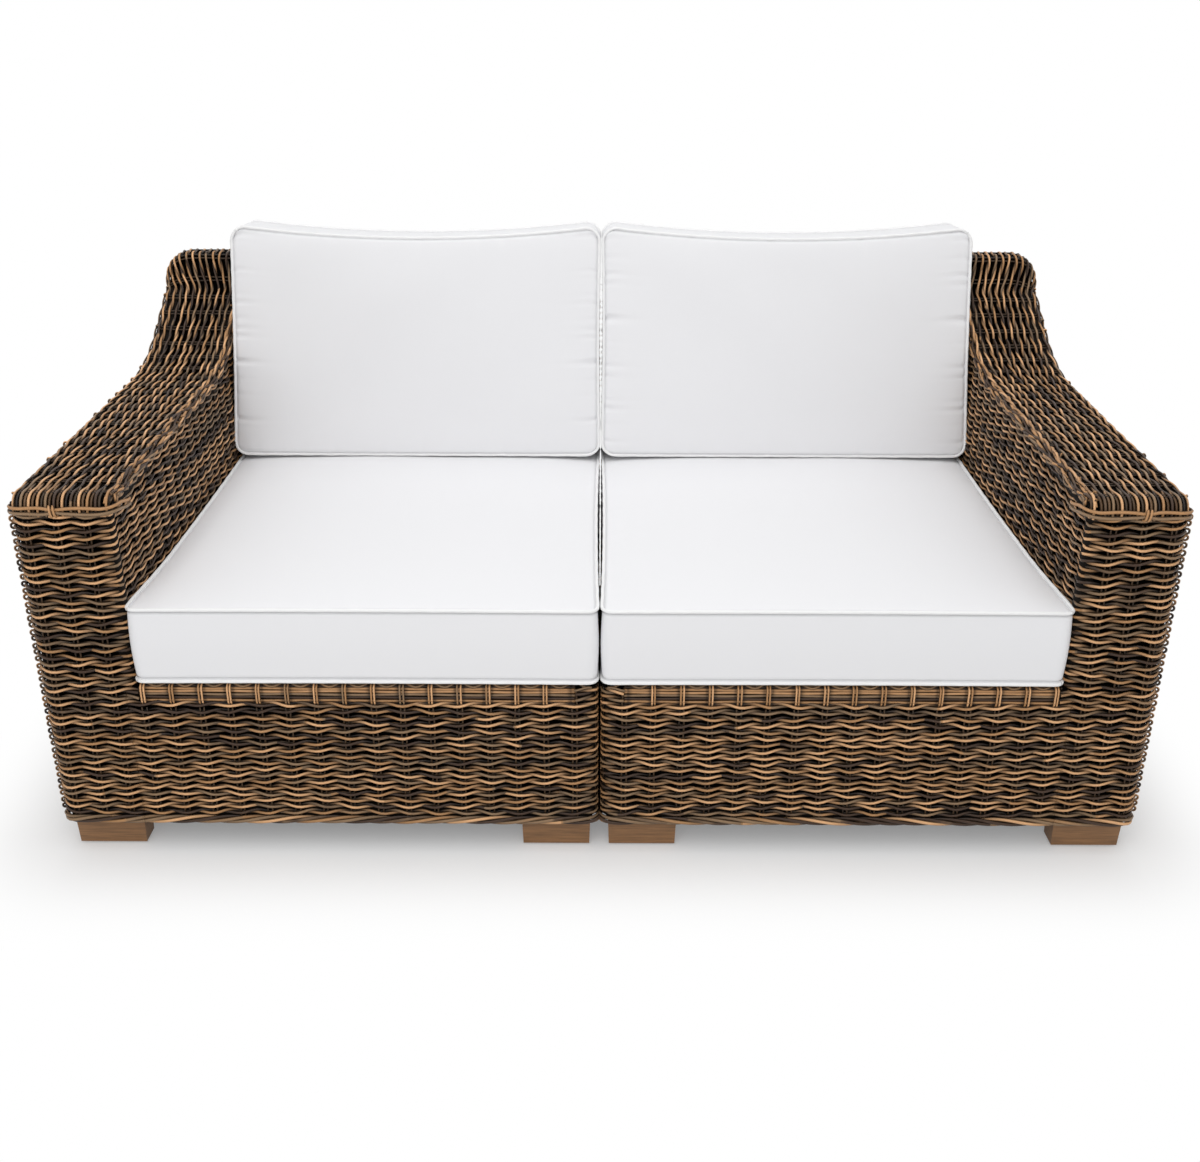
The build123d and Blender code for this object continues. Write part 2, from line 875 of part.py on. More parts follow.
def make_zip_tape(seat, width):
    with BuildPart() as tape:
        with BuildSketch(seat):
            Rectangle(width - 2 * zip_margin, tape_width)
        extrude(amount=tape_thickness)
        with BuildSketch(seat.offset(tape_thickness)):
            Rectangle(width - 2 * zip_margin, teeth_width)
        extrude(amount=teeth_height)
    return tape.part


def make_zip_slider(seat, width):
    """At the closed end of the tape, astride the teeth, its pull lying along them."""
    start = -width / 2 + zip_margin + slider_length
    low = tape_thickness + slider_play
    with BuildPart() as slider:
        with BuildSketch(seat.offset(low)):
            with Locations((start, 0)):
                Rectangle(slider_length, slider_width)
        extrude(amount=slider_height)
        with BuildSketch(seat.offset(low)):
            with Locations((start, 0)):
                Rectangle(slider_length, teeth_width + 2 * slider_play)
        extrude(amount=teeth_height, mode=Mode.SUBTRACT)
        pull_low = low + slider_height - pull_thickness
        with BuildSketch(seat.offset(pull_low)):
            with Locations((start + (slider_length + pull_length) / 2, 0)):
                Rectangle(pull_length, pull_width)
        extrude(amount=pull_thickness)
    return slider.part


def save_cushion(name, plane, width, length, boxing, crowns, rise, far_bow):
    sizes = (plane, width, length, boxing, crowns, rise, far_bow)
    with BuildPart() as cover:
        add(cushion_solid(*sizes, 0))
        add(cushion_solid(*sizes, cover_thickness), mode=Mode.SUBTRACT)
    save_pair(cover.part, f"{name}_cover")
    save_pair(cushion_solid(*sizes, cover_thickness + play), f"{name}_foam_core")
    save_pair(make_piping(*sizes), f"{name}_piping")
    seat = zip_plane(plane, length, boxing, crowns, rise)
    save_pair(make_zip_tape(seat, width), f"{name}_zip_tape")
    save_pair(make_zip_slider(seat, width), f"{name}_zip_slider")


os.makedirs("parts", exist_ok=True)

# Frame, weave and feet of each module
save_pair(make_base_frame(), "base_frame")
save_pair(make_seat_frame(), "seat_frame")
save_pair(make_arm_frame(), "arm_frame")
save_pair(make_back_frame(), "back_frame")
save_pair(make_slats(), "seat_slats")
save_pair(make_arm_front(), "arm_front_weave")
save_pair(make_apron(), "apron_weave")
save_pair(make_outer_side(), "outer_side_weave")
save_pair(make_inner_side(), "inner_side_weave")
save_pair(make_arm_inner(), "arm_inner_weave")
save_pair(make_arm_top(), "arm_top_weave")
save_pair(make_back_inner(), "back_inner_weave")
save_pair(make_back_outer(), "back_outer_weave")
save_pair(make_back_top(), "back_top_weave")
save_pair(make_rail_wrap(), "wrapped_seat_rail")
save_pair(make_feet(), "feet")
save_pair(make_foot_screws(), "foot_screws")
save_pair(make_glides(), "foot_glides")

# Connectors under the seam
save(make_jaws(), "connector_jaws")
save(make_blades(), "connector_blades")
save(make_connector_screws(-1), "jaw_screws")
save(make_connector_screws(1), "blade_screws")

# Seat cushion: flat on the slats, between the arm and the seam, up to the leaning back
seat_rear = face_y(seat_height) - play - piping_radius
seat_length = seat_rear - y_front - piping_radius
seat_width = x_seam - x_arm - 2 * (play + piping_radius)
seat_plane = Plane(
    origin=((x_seam + x_arm) / 2, seat_rear - seat_length / 2, seat_height + play),
    x_dir=(1, 0, 0),
    z_dir=(0, 0, 1),
)
seat_crowns = (seat_underfall, seat_crown)
save_cushion(
    "seat_cushion",
    seat_plane,
    seat_width,
    seat_length,
    seat_boxing,
    seat_crowns,
    0,
    seat_front_bow,
)

# Back cushion: on the seat cushion, against the leaning back
back_cushion_bottom = seat_height + seat_underfall + seat_boxing + seat_crown + 2 * play
back_total = back_boxing + 2 * back_crown
back_front_y = face_y(back_cushion_bottom) - (back_total + play) / lean_cosine
down = Vector(0, -math.sin(math.radians(back_lean)), -lean_cosine)
rearward = Vector(0, lean_cosine, -math.sin(math.radians(back_lean)))
back_cushion_width = seat_width - back_cushion_clearance
back_cushion_x = x_seam - play - piping_radius - back_cushion_width / 2
back_low = Vector(back_cushion_x, back_front_y, back_cushion_bottom)
back_plane = Plane(
    origin=back_low - down * (back_cushion_height / 2 + piping_radius),
    x_dir=(1, 0, 0),
    z_dir=rearward,
)
save_cushion(
    "back_cushion",
    back_plane,
    back_cushion_width,
    back_cushion_height,
    back_boxing,
    (back_crown, back_crown),
    back_bottom_rise,
    back_top_bow,
)
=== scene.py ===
"""Looks of a two-module wicker loveseat, laid over its packed CAD frame.

Every strand of the weave is a tube carried along a surface worked out with numpy, each
cushion is a crowned closed form with sewn welts, and the frame, feet and fastenings keep
their CAD shapes under procedural finishes. Sizes are metres in the part's own frame: +X
to the right, the front faces -Y, +Z up.
"""

import math

import bpy
import numpy as np
from bpy.props import FloatProperty, FloatVectorProperty, PointerProperty
from bpy.types import Operator, Panel, PropertyGroup
from mathutils import Matrix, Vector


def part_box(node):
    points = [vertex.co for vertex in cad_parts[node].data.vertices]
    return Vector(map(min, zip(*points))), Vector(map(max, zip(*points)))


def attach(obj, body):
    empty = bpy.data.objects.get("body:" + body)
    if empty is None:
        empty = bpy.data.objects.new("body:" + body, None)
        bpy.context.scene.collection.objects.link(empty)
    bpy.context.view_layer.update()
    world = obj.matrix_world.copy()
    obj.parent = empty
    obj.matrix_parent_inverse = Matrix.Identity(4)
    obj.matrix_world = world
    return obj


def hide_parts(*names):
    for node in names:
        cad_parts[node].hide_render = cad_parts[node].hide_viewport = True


bl_info = {
    "name": "Wicker loveseat looks",
    "version": (1, 0, 0),
    "blender": (4, 5, 0),
    "location": "3D View > Sidebar > Loveseat",
    "description": "Weaves, upholsters and lights a two-module wicker loveseat over its CAD frame",
    "category": "Object",
}

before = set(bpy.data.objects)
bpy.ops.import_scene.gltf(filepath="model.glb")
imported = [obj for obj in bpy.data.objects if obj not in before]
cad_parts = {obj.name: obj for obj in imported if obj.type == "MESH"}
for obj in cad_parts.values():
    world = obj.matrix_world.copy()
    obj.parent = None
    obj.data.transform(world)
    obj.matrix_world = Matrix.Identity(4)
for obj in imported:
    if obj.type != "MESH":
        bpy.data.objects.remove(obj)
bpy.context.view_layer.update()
SIDES = ("left", "right")

# Places of the left module, read from the frame's nodes
x_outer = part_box("left_outer_side_weave")[0][0]
x_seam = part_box("left_inner_side_weave")[1][0]
x_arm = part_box("left_arm_inner_weave")[1][0]
y_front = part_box("left_arm_front_weave")[0][1]
y_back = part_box("left_back_outer_weave")[1][1]
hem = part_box("left_apron_weave")[0][2]
back_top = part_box("left_back_top_weave")[1][2]
arm_seat_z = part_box("left_arm_inner_weave")[0][2]
rail_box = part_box("left_wrapped_seat_rail")
seat_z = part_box("left_seat_slats")[1][2]

# Forms of the woven box
CORNER = 0.022
ARM_HEIGHT = 0.657
ARM_SLOPE = math.radians(1.5)
LIP = 0.020
WING_START = 0.610
WING_RADIUS = 0.400
WING_SLOPE = math.radians(31)
LEAN = math.radians(9.5)
TOP_DEPTH = 0.051
BACK_CORNER = 0.050
ARM_EDGE = 0.013
EAR_FILLET = 0.060

# Height of the strands above their plain panels
FRONT_PROUD = 0.0056
SIDE_PROUD = 0.0020
CAP_PROUD = 0.0040
CORNER_SINK = 0.0040

# Pairs of stakes from the arm's front round the module, and across a back's inner face
STAKES_AROUND = 79
STAKES_ON_BACK = 16

# Weave: how far a row wanders, as a share of the rows' pitch; how far a stake or a laid
# strand waves; how far the sheet behind the weave reaches below the stakes; the distance
# between two strands that lie slack; and the power that broadens a strand's crests
WANDER_SHARE = 0.09
STRAY = 0.0007
LINING_BELOW = 0.0105
SLACK_GAP = 0.0052
CREST_POWER = 0.9

# Cushions, as in the CAD
CAD_WELT = 0.003
CAD_PLAY = 0.0003
SEAT_BOXING = 0.128

# Sewn line beside each welt: its distance from the seam and its depth on both sides of it
SEWN_LINE = 0.0040
PANEL_GROOVE = 0.0020
BOXING_GROOVE = 0.0026

# Camera fitted to the photograph: lens in millimetres, place in metres, angles in radians
LENS = 40.764
CAMERA_PLACE = (0.0, -2.4696, 1.4017)
CAMERA_DOWN = math.radians(24.053)
CAMERA_ROLL = math.radians(0.2232)


def linear(colour):
    """sRGB hex to the linear RGBA that a socket takes."""
    parts = np.array([int(colour[i : i + 2], 16) / 255 for i in (1, 3, 5)])
    parts = np.where(parts <= 0.04045, parts / 12.92, ((parts + 0.055) / 1.055) ** 2.4)
    return (*parts.tolist(), 1.0)


def length(name, description, default, low, high):
    """A setting in metres."""
    return FloatProperty(
        name=name, description=description, default=default, min=low, max=high, unit="LENGTH"
    )


def tint(name, description, colour):
    """A colour setting, given as sRGB hex."""
    return FloatVectorProperty(
        name=name, description=description, default=linear(colour)[:3], subtype="COLOR"
    )


class WeaveSettings(PropertyGroup):
    """Sizes and colours of the woven resin strands."""

    strand_width: length(
        "Strand width", "Width of a weaving strand, seen from outside", 0.0052, 0.002, 0.008
    )
    strand_thickness: length(
        "Strand thickness",
        "Thickness of a weaving strand, through the weave",
        0.0042,
        0.001,
        0.008,
    )
    row_pitch: length(
        "Row pitch", "Distance from one twisted pair of strands to the next", 0.0124, 0.009, 0.02
    )
    stake_width: length(
        "Stake width", "Diameter of each of a pair of stakes", 0.0034, 0.002, 0.008
    )
    stake_gap: length(
        "Stake spacing", "Distance between the middles of a pair of stakes", 0.0075, 0.003, 0.012
    )
    relief: length(
        "Relief", "How far a strand swings out and in as it passes the stakes", 0.0033, 0.0, 0.006
    )
    twist: length(
        "Twist",
        "How far the two strands of a row lie to either side of it where they cross",
        0.0025,
        0.0,
        0.006,
    )
    droop: length(
        "Droop",
        "How far a strand sinks where it passes in front of the stakes",
        0.0030,
        0.0,
        0.006,
    )
    dark: tint("Dark strand", "Colour of the charcoal strands", "#3F2E22")
    grey: tint("Grey strand", "Colour of the grey-brown strands", "#836A50")
    brown: tint("Brown strand", "Colour of the mid brown strands", "#A47B53")
    tan: tint("Tan strand", "Colour of the orange-tan strands", "#CFA175")


class CushionSettings(PropertyGroup):
    """Sizes and colours of the cushions."""

    seat_crown: length(
        "Seat crown", "Height of a seat cushion's crown above its upper welt", 0.0155, 0.0, 0.03
    )
    back_crown: length(
        "Back crown", "Height of a back cushion's crown in front of its welt", 0.014, 0.0, 0.03
    )
    welt: length("Welt radius", "Radius of the piping", 0.0029, 0.001, 0.006)
    thread: length(
        "Thread pitch",
        "Distance between the threads of the canvas, coarser than real so that it shows",
        0.0016,
        0.0004,
        0.004,
    )
    canvas: tint("Canvas", "Colour of the cushion covers", "#EBEBED")
    # Painted highlight: the piping, sewn of the same canvas, is given a lighter colour than the
    # cover
    piping: tint("Piping", "Colour of the piping", "#F1F1F1")


class FrameSettings(PropertyGroup):
    """Colours of the frame, feet and fastenings."""

    wood: tint("Wood", "Colour of the stained feet", "#88623E")
    powder: tint("Powder coat", "Colour of the aluminium frame", "#14100D")


class StageSettings(PropertyGroup):
    """Light and floor."""

    key_power: FloatProperty(
        name="Key light",
        description="Power of the two lamps, of which each takes its own share",
        default=58.0,
        min=0.0,
        max=1000.0,
        unit="POWER",
    )
    sky: FloatProperty(
        name="Sky",
        description="Strength of the surrounding light",
        default=0.52,
        min=0.0,
        max=2.0,
    )
    floor: tint("Floor", "Colour of the floor", "#F4F4F4")


# Lines and surfaces


def bent_line(start, heading, runs):
    """A line in a plane of straight runs and arcs, each given as (length, turn).

    A place is the start plus the integral of (cos heading, sin heading), and the heading
    turns evenly over each run. Returns the whole length and the function that gives the
    places at distances along it.
    """
    lengths, turns = np.array(runs, float).T
    begins = np.concatenate(([0.0], np.cumsum(lengths)))[:-1]
    headings = heading + np.concatenate(([0.0], np.cumsum(turns)))[:-1]
    bends = turns / lengths

    def advance(heading, bend, distance):
        straight = np.abs(bend) < 1e-9
        safe = np.where(straight, 1.0, bend)
        turned = heading + bend * distance
        across = np.where(
            straight, distance * np.cos(heading), (np.sin(turned) - np.sin(heading)) / safe
        )
        up = np.where(
            straight, distance * np.sin(heading), (np.cos(heading) - np.cos(turned)) / safe
        )
        return np.stack((across, up), -1)

    steps = advance(headings, bends, lengths)
    places = np.array(start) + np.concatenate((np.zeros((1, 2)), np.cumsum(steps, 0)))[:-1]

    def at(distance):
        run = np.clip(np.searchsorted(begins, distance, side="right") - 1, 0, len(begins) - 1)
        return places[run] + advance(headings[run], bends[run], distance - begins[run])

    return lengths.sum(), at


def face_y(z):
    """The leaning front face of the back, at a height."""
    return y_back - TOP_DEPTH - (back_top - z) * math.tan(LEAN)


def plan_line():
    """The module's outline seen from above, from the rear of the arm's inner face forward,
    round the arm, the side, the rear, the seam and the front below the seat. Also gives
    the distances at which one face ends and the next begins."""
    turn = (CORNER * math.pi / 2, -math.pi / 2)
    depth = y_back - y_front - 2 * CORNER
    arm = x_arm - x_outer - 2 * CORNER
    module = x_seam - x_outer - 2 * CORNER
    runs = [
        (depth + CORNER, 0),
        turn,
        (arm, 0),
        turn,
        (depth, 0),
        turn,
        (module, 0),
        turn,
        (depth, 0),
        turn,
        (module - arm, 0),
    ]
    _, at = bent_line((x_arm, y_back), -math.pi / 2, runs)
    ends = np.concatenate(([0.0], np.cumsum([length for length, _ in runs])))
    return at, ends


def arm_profile():
    """The arm's top seen from the side, up its front lip, along, up the wing and the ear,
    over the top of the back and down behind. Returns its length, its places, the
    distance at which the ear begins and the distance of the top's front edge."""
    lip_y = y_front + LIP
    rise_from = lip_y - LIP * math.sin(ARM_SLOPE)
    level = (y_front + WING_START - rise_from) / math.cos(ARM_SLOPE)
    front = [
        (0.012, 0),
        (LIP * (math.pi / 2 - ARM_SLOPE), ARM_SLOPE - math.pi / 2),
        (level, 0),
        (WING_RADIUS * (WING_SLOPE - ARM_SLOPE), WING_SLOPE - ARM_SLOPE),
    ]
    length, at = bent_line((y_front, ARM_HEIGHT - LIP - 0.012), math.pi / 2, front)
    y, z = at(np.array([length]))[0]
    tangent = math.tan(LEAN)
    wing = (face_y(z) - y) / (math.cos(WING_SLOPE) - math.sin(WING_SLOPE) * tangent)
    ear_z = z + wing * math.sin(WING_SLOPE)
    steep = math.pi / 2 - LEAN
    back_off = EAR_FILLET * math.tan((steep - WING_SLOPE) / 2)
    over, behind = 0.016, 0.014
    over_off = over * math.tan(steep / 2)
    runs = front + [
        (wing - back_off, 0),
        (EAR_FILLET * (steep - WING_SLOPE), steep - WING_SLOPE),
        ((back_top - ear_z) / math.cos(LEAN) - back_off - over_off, 0),
        (over * steep, -steep),
        (TOP_DEPTH - over_off - behind, 0),
        (behind * math.pi / 2, -math.pi / 2),
        (0.012, 0),
    ]
    whole, at = bent_line((y_front, ARM_HEIGHT - LIP - 0.012), math.pi / 2, runs)
    ends = np.cumsum([length for length, _ in runs])
    return whole, at, ends[4], ends[6]


def smooth_step(value, low, high):
    """0 below low, 1 above high and 3 s^2 - 2 s^3 at the share s between them."""
    share = np.clip((value - low) / (high - low), 0, 1)
    return share * share * (3 - 2 * share)


def bell(value, middle, width):
    """exp(-((value - middle) / width) ** 2), a smooth bump of height 1."""
    return np.exp(-(((value - middle) / width) ** 2))


def wall(at):
    """Upright surface over a plan line: u runs along the line and v is the height."""

    def surface(u, v):
        place = at(u)
        return np.stack((place[..., 0], place[..., 1], v + 0 * u), -1)

    return surface


def arm_band(profile, ear_from, ear_to):
    """The cap of the arm: u runs along the side profile and v across from the outer wall.

    On the arm the section across is flat with edges rounded to a small radius, and at the
    back it turns into the back's rounded outer corner. Between them each place is the
    two sections' mean, weighed by how far up the ear it is.
    """
    width = x_arm - x_outer
    quarter = math.pi / 2
    turn = (ARM_EDGE * quarter, -quarter)
    arm_runs = [turn, (width - 2 * ARM_EDGE, 0), turn]
    arm_length, arm_at = bent_line((0, -ARM_EDGE), quarter, arm_runs)
    top_runs = [(BACK_CORNER * quarter, -quarter), (width - BACK_CORNER, 0)]
    top_length, top_at = bent_line((0, -BACK_CORNER), quarter, top_runs)

    def surface(u, v):
        share = v / arm_length
        on_arm, on_top = arm_at(v), top_at(share * top_length)
        weight = smooth_step(u, ear_from, ear_to)
        spot = profile(u)
        step = unit(profile(u + 1e-4) - profile(u - 1e-4))
        sink = on_arm[..., 1] * (1 - weight)
        from_side = np.minimum(on_arm[..., 0], width - on_arm[..., 0])
        past = np.clip(CORNER - from_side, 0, CORNER * 0.98)
        back_off = (CORNER - np.sqrt(CORNER**2 - past**2)) * (1 - smooth_step(u, 0.03, 0.12))
        x = x_outer + on_arm[..., 0] * (1 - weight) + on_top[..., 0] * weight
        y = spot[..., 0] - sink * step[..., 1] + back_off
        z = spot[..., 1] + sink * step[..., 0] + on_top[..., 1] * weight
        return np.stack((x, y, z), -1)

    return surface, arm_length


def extruded(profile):
    """A side profile carried across: u runs along the profile and v is x."""

    def surface(u, v):
        spot = profile(u)
        return np.stack((v + 0 * u, spot[..., 0], spot[..., 1]), -1)

    return surface


def leaning_face(u, v):
    """The back's front face: u runs from the seam towards the arm, v up the lean."""
    z = seat_z + v * math.cos(LEAN)
    return np.stack((x_seam - u, face_y(z) + 0 * u, z + 0 * u), -1)


def unit(vectors):
    """Vectors shortened or lengthened to 1."""
    return vectors / np.maximum(np.linalg.norm(vectors, axis=-1, keepdims=True), 1e-12)


def frames(surface, u, v):
    """Places and outward normals: the cross product of the steps along v and along u."""
    step = 1e-4
    along = surface(u + step, v) - surface(u - step, v)
    up = surface(u, v + step) - surface(u, v - step)
    return surface(u, v), unit(np.cross(up, along))


# Strands


def tubes(lines, outward, half_width, half_thickness, keep, tone, painted_shade=0.0, sides=5):
    """Elliptical tubes along lines given as arrays of (strand, place, xyz).

    A ring's point is the place + width * cos(angle) * side + thickness * sin(angle) *
    outward, where side is the line's direction crossed with outward. Only the places
    marked in keep get a tube, and both ends of each kept stretch are closed.
    """
    count, places = lines.shape[:2]
    along = unit(np.gradient(lines, axis=1))
    side = unit(np.cross(along, outward))
    out = np.cross(side, along)
    angle = np.arange(sides) / sides * 2 * math.pi
    width = np.broadcast_to(half_width, (count, places))[..., None, None]
    thickness = np.broadcast_to(half_thickness, (count, places))[..., None, None]
    verts = lines[:, :, None] + side[:, :, None] * width * np.cos(angle)[:, None]
    verts = (verts + out[:, :, None] * thickness * np.sin(angle)[:, None]).reshape(-1, 3)
    steps = np.linalg.norm(np.diff(lines, axis=1), axis=-1)
    travel = np.concatenate((np.zeros((count, 1)), np.cumsum(steps, 1)), 1)

    runs = keep[:, :-1] & keep[:, 1:]
    row, spot = np.nonzero(runs)
    base = ((row * places + spot) * sides)[:, None]
    ring = np.arange(sides)
    after = (ring + 1) % sides
    quads = np.stack((base + ring, base + sides + ring, base + sides + after, base + after), -1)
    u = np.stack((ring, ring, ring + 1, ring + 1), -1) / sides
    near, far = travel[row, spot], travel[row, spot + 1]
    v = np.stack((near, far, far, near), -1)
    shape = (len(row), sides, 4)
    quad_uv = np.stack((np.broadcast_to(u, shape), np.broadcast_to(v[:, None], shape)), -1)
    nothing = np.zeros((count, 1), bool)
    starts = np.nonzero(runs & ~np.concatenate((nothing, runs[:, :-1]), 1))
    stops = np.nonzero(runs & ~np.concatenate((runs[:, 1:], nothing), 1))
    first = ((starts[0] * places + starts[1]) * sides)[:, None] + ring
    last = ((stops[0] * places + stops[1] + 1) * sides)[:, None] + ring[::-1]
    return {
        "verts": verts,
        "quads": quads.reshape(-1, 4),
        "uv": quad_uv.reshape(-1, 4, 2),
        "caps": np.concatenate((first, last)),
        "tone": np.repeat(np.broadcast_to(tone, (count, places)).reshape(-1), sides),
        "painted_shade": np.repeat(np.broadcast_to(painted_shade, (count, places)).reshape(-1), sides),
        "slot": 0,
    }


def everywhere(place):
    """Keeps every place."""
    return np.ones(place.shape[:-1], bool)


def laid(surface, u, v, height, width, thickness, tone, painted_shade=0.0, keep=everywhere):
    """Tubes of half a width and half a thickness along lines at a height above a surface."""
    place, normal = frames(surface, u, v)
    lines = place + normal * np.broadcast_to(height, place.shape[:-1])[..., None]
    return tubes(lines, normal, width, thickness, keep(place), tone, painted_shade)


def make_piece(name, parts, materials, body, mirrored):
    """Joins arrays of tubes into one mesh, drops unused places, and rides it on a body.
    The mirrored module's mesh has its x turned over and its faces turned round."""
    offsets = np.cumsum([0] + [len(part["verts"]) for part in parts])
    verts, tone, painted_shade, uv = (
        np.concatenate([part[key] for part in parts]) for key in ("verts", "tone", "painted_shade", "uv")
    )
    quads = np.concatenate([part["quads"] + shift for part, shift in zip(parts, offsets)])
    caps = np.concatenate([part["caps"] + shift for part, shift in zip(parts, offsets)])
    slots = np.concatenate([np.full(len(part["quads"]), part["slot"]) for part in parts])
    if mirrored:
        verts = verts * (-1, 1, 1)
        quads, uv, caps = quads[:, ::-1], uv[:, ::-1], caps[:, ::-1]
    corners = np.concatenate((quads.ravel(), caps.ravel()))
    used, corners = np.unique(corners, return_inverse=True)
    mesh = bpy.data.meshes.new(name)
    mesh.vertices.add(len(used))
    mesh.vertices.foreach_set("co", verts[used].ravel().astype(np.float32))
    mesh.loops.add(len(corners))
    mesh.loops.foreach_set("vertex_index", corners.ravel().astype(np.int32))
    starts = np.concatenate(
        (np.arange(len(quads)) * 4, quads.size + np.arange(len(caps)) * caps.shape[1])
    )
    mesh.polygons.add(len(starts))
    mesh.polygons.foreach_set("loop_start", starts.astype(np.int32))
    smooth = np.concatenate((np.ones(len(quads), bool), np.zeros(len(caps), bool)))
    mesh.polygons.foreach_set("use_smooth", smooth)
    slots = np.concatenate((slots, np.zeros(len(caps), int)))
    mesh.polygons.foreach_set("material_index", slots.astype(np.int32))
    for key, values in (("tone", tone), ("painted_shade", painted_shade)):
        layer = mesh.attributes.new(key, "FLOAT", "POINT")
        layer.data.foreach_set("value", values[used].astype(np.float32))
    layer = mesh.uv_layers.new(name="strand")
    flat = np.concatenate((uv.reshape(-1, 2), np.zeros((caps.size, 2))))
    layer.data.foreach_set("uv", flat.ravel().astype(np.float32))
    mesh.update(calc_edges=True)
    for material in materials:
        mesh.materials.append(material)
    piece = bpy.data.objects.new(name, mesh)
    bpy.context.scene.collection.objects.link(piece)
    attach(piece, body)
    return piece


def flush(u):
    """Height of a weave whose crests lie in the surface itself."""
    return 0 * u


# Shape of a weave that lies level with its panel
LEVEL = (1.0, flush, 0.75, 1.0, 1.0)


class Loom:
    """The strands' own irregularity and colours, the same on every face they pass.

    A row is a pair of strands twisted round each other, and a pair of stakes stands in
    each half turn. A row's wander is a sum of three slow sines along it with phases of
    its own, and its tone changes where one cut strand ends and the next begins.
    """

    def __init__(self, seed, settings, rows):
        draw = np.random.default_rng(seed)
        self.settings = settings
        self.waves = np.array((0.61, 0.23, 0.094))
        self.phases = draw.uniform(0, 2 * math.pi, (rows, 3))
        self.swing = draw.uniform(0.85, 1.1, rows)
        self.cut = draw.uniform(0.10, 0.36, rows)
        self.start = draw.uniform(0, 1, rows)
        self.tones = 0.42 * draw.uniform(0, 1, (2, rows, 40)) + 0.618 * np.arange(rows)[:, None]
        self.tones[1] += 0.37 * (draw.uniform(0, 1, (rows, 40)) < 0.6)
        self.tones %= 1
        # Heights that the sheet behind the weave must have points at
        self.levels = ()

    def wander(self, numbers, u):
        """How far rows stray to the side at a distance, from about -1 to 1."""
        phases = self.phases[numbers][:, None]
        angle = u[..., None] * 2 * math.pi / self.waves + phases
        return (np.sin(angle) * (0.9, 0.7, 0.5)).sum(-1) / 2.1

    def tone(self, strand, numbers, u):
        """Tones from 0 to 1 of one strand of each row at a distance."""
        number = u / self.cut[numbers][:, None] + self.start[numbers][:, None]
        return self.tones[strand][numbers[:, None], np.floor(number).astype(int) % 40]

    def weave(
        self,
        surface,
        span,
        rows,
        pitch,
        first,
        keep,
        stakes,
        shape=LEVEL,
        slack=None,
        marks=(),
        steps=6,
    ):
        """Rows of twisted strands over a surface, with a pair of stakes at every pitch.

        With a = pi * u / pitch, one strand stands off the stakes by relief * cos(a), its
        cosine raised to a power with the sign kept, and to the side by twist * sin(a), and
        the other is half a turn on. Both sink by droop * (cos(a) ** 2 - 0.5). Where there
        is slack they lie straight, one over the other.
        Shape is the share of the droop, the height above the surface at each distance, the
        painted shade on the stakes and the shares of the relief and of the strand's width.
        Slack is a function of the distance, marks are places that every row must have a point
        at, and steps is the number of points in each pitch.
        """
        sizes = self.settings
        droop, proud, shaded, relief_share, width_share = shape
        relief = sizes.relief * relief_share
        width, thickness = sizes.strand_width / 2, sizes.strand_thickness / 2
        width, thickness = width * width_share, thickness * width_share

        def depth(u):
            return relief * 1.05 + sizes.strand_thickness / 2 - proud(u)

        numbers = np.arange(len(rows))
        before, after = ((end - first) / pitch for end in span)
        grid = np.arange(math.ceil(before * steps), after * steps)
        u = np.concatenate((span, marks, first + grid * pitch / steps))
        u = np.unique(np.round(u, 7))
        u = np.broadcast_to(u, (len(rows), len(u)))
        loose = slack(u) if slack else 0 * u
        middle = rows[:, None] + self.wander(numbers, u) * sizes.row_pitch * WANDER_SHARE
        twist = sizes.twist * np.clip(1.9 * np.sin(u * 11 + self.phases[numbers, :1] * 3), -1, 1)
        parts = []
        for strand in (0, 1):
            angle = math.pi * ((u - first) / pitch + strand)
            sunk = droop * sizes.droop * (np.sin(angle) ** 2 - 0.5)
            across = (twist * relief_share * np.sin(angle) + sunk) * (1 - loose)
            v = middle + across + loose * (strand - 0.3) * SLACK_GAP
            phase = np.cos(angle)
            phase = np.sign(phase) * np.abs(phase) ** CREST_POWER
            phase = phase * (1 - loose) + (0.8 - 1.4 * strand) * loose
            swing = phase * self.swing[: len(rows), None] * relief
            # Painted shade: the half of each turn that lies back is darkened in the colour
            tone, painted_shade = self.tone(strand, numbers, u), 0.5 - 0.5 * phase
            height = swing - depth(u)
            parts.append(laid(surface, u, v, height, width, thickness, tone, painted_shade, keep))
        pairs = first + np.arange(math.ceil(before), after) * pitch
        if len(pairs):
            pairs = np.concatenate((pairs - sizes.stake_gap / 2, pairs + sizes.stake_gap / 2))
            v = np.linspace(*stakes, max(3, int((stakes[1] - stakes[0]) / 0.016)))
            v = np.broadcast_to(v, (len(pairs), len(v)))
            u = pairs[:, None] + np.sin(v * 90 + pairs[:, None] * 300) * STRAY
            tone = (0.25 + 0.7 * np.abs(np.sin(pairs * 977)))[:, None]
            half = sizes.stake_width / 2
            # Painted shade: the stakes, which stand behind the strands, are darkened in the colour
            parts.append(laid(surface, u, v, -depth(u), half, half, tone, shaded, keep))
        below = 0 if slack else LINING_BELOW
        across = (stakes[0] - below, stakes[1])
        parts.append(self.lining(surface, span, across, pitch, keep, depth, marks))
        return parts

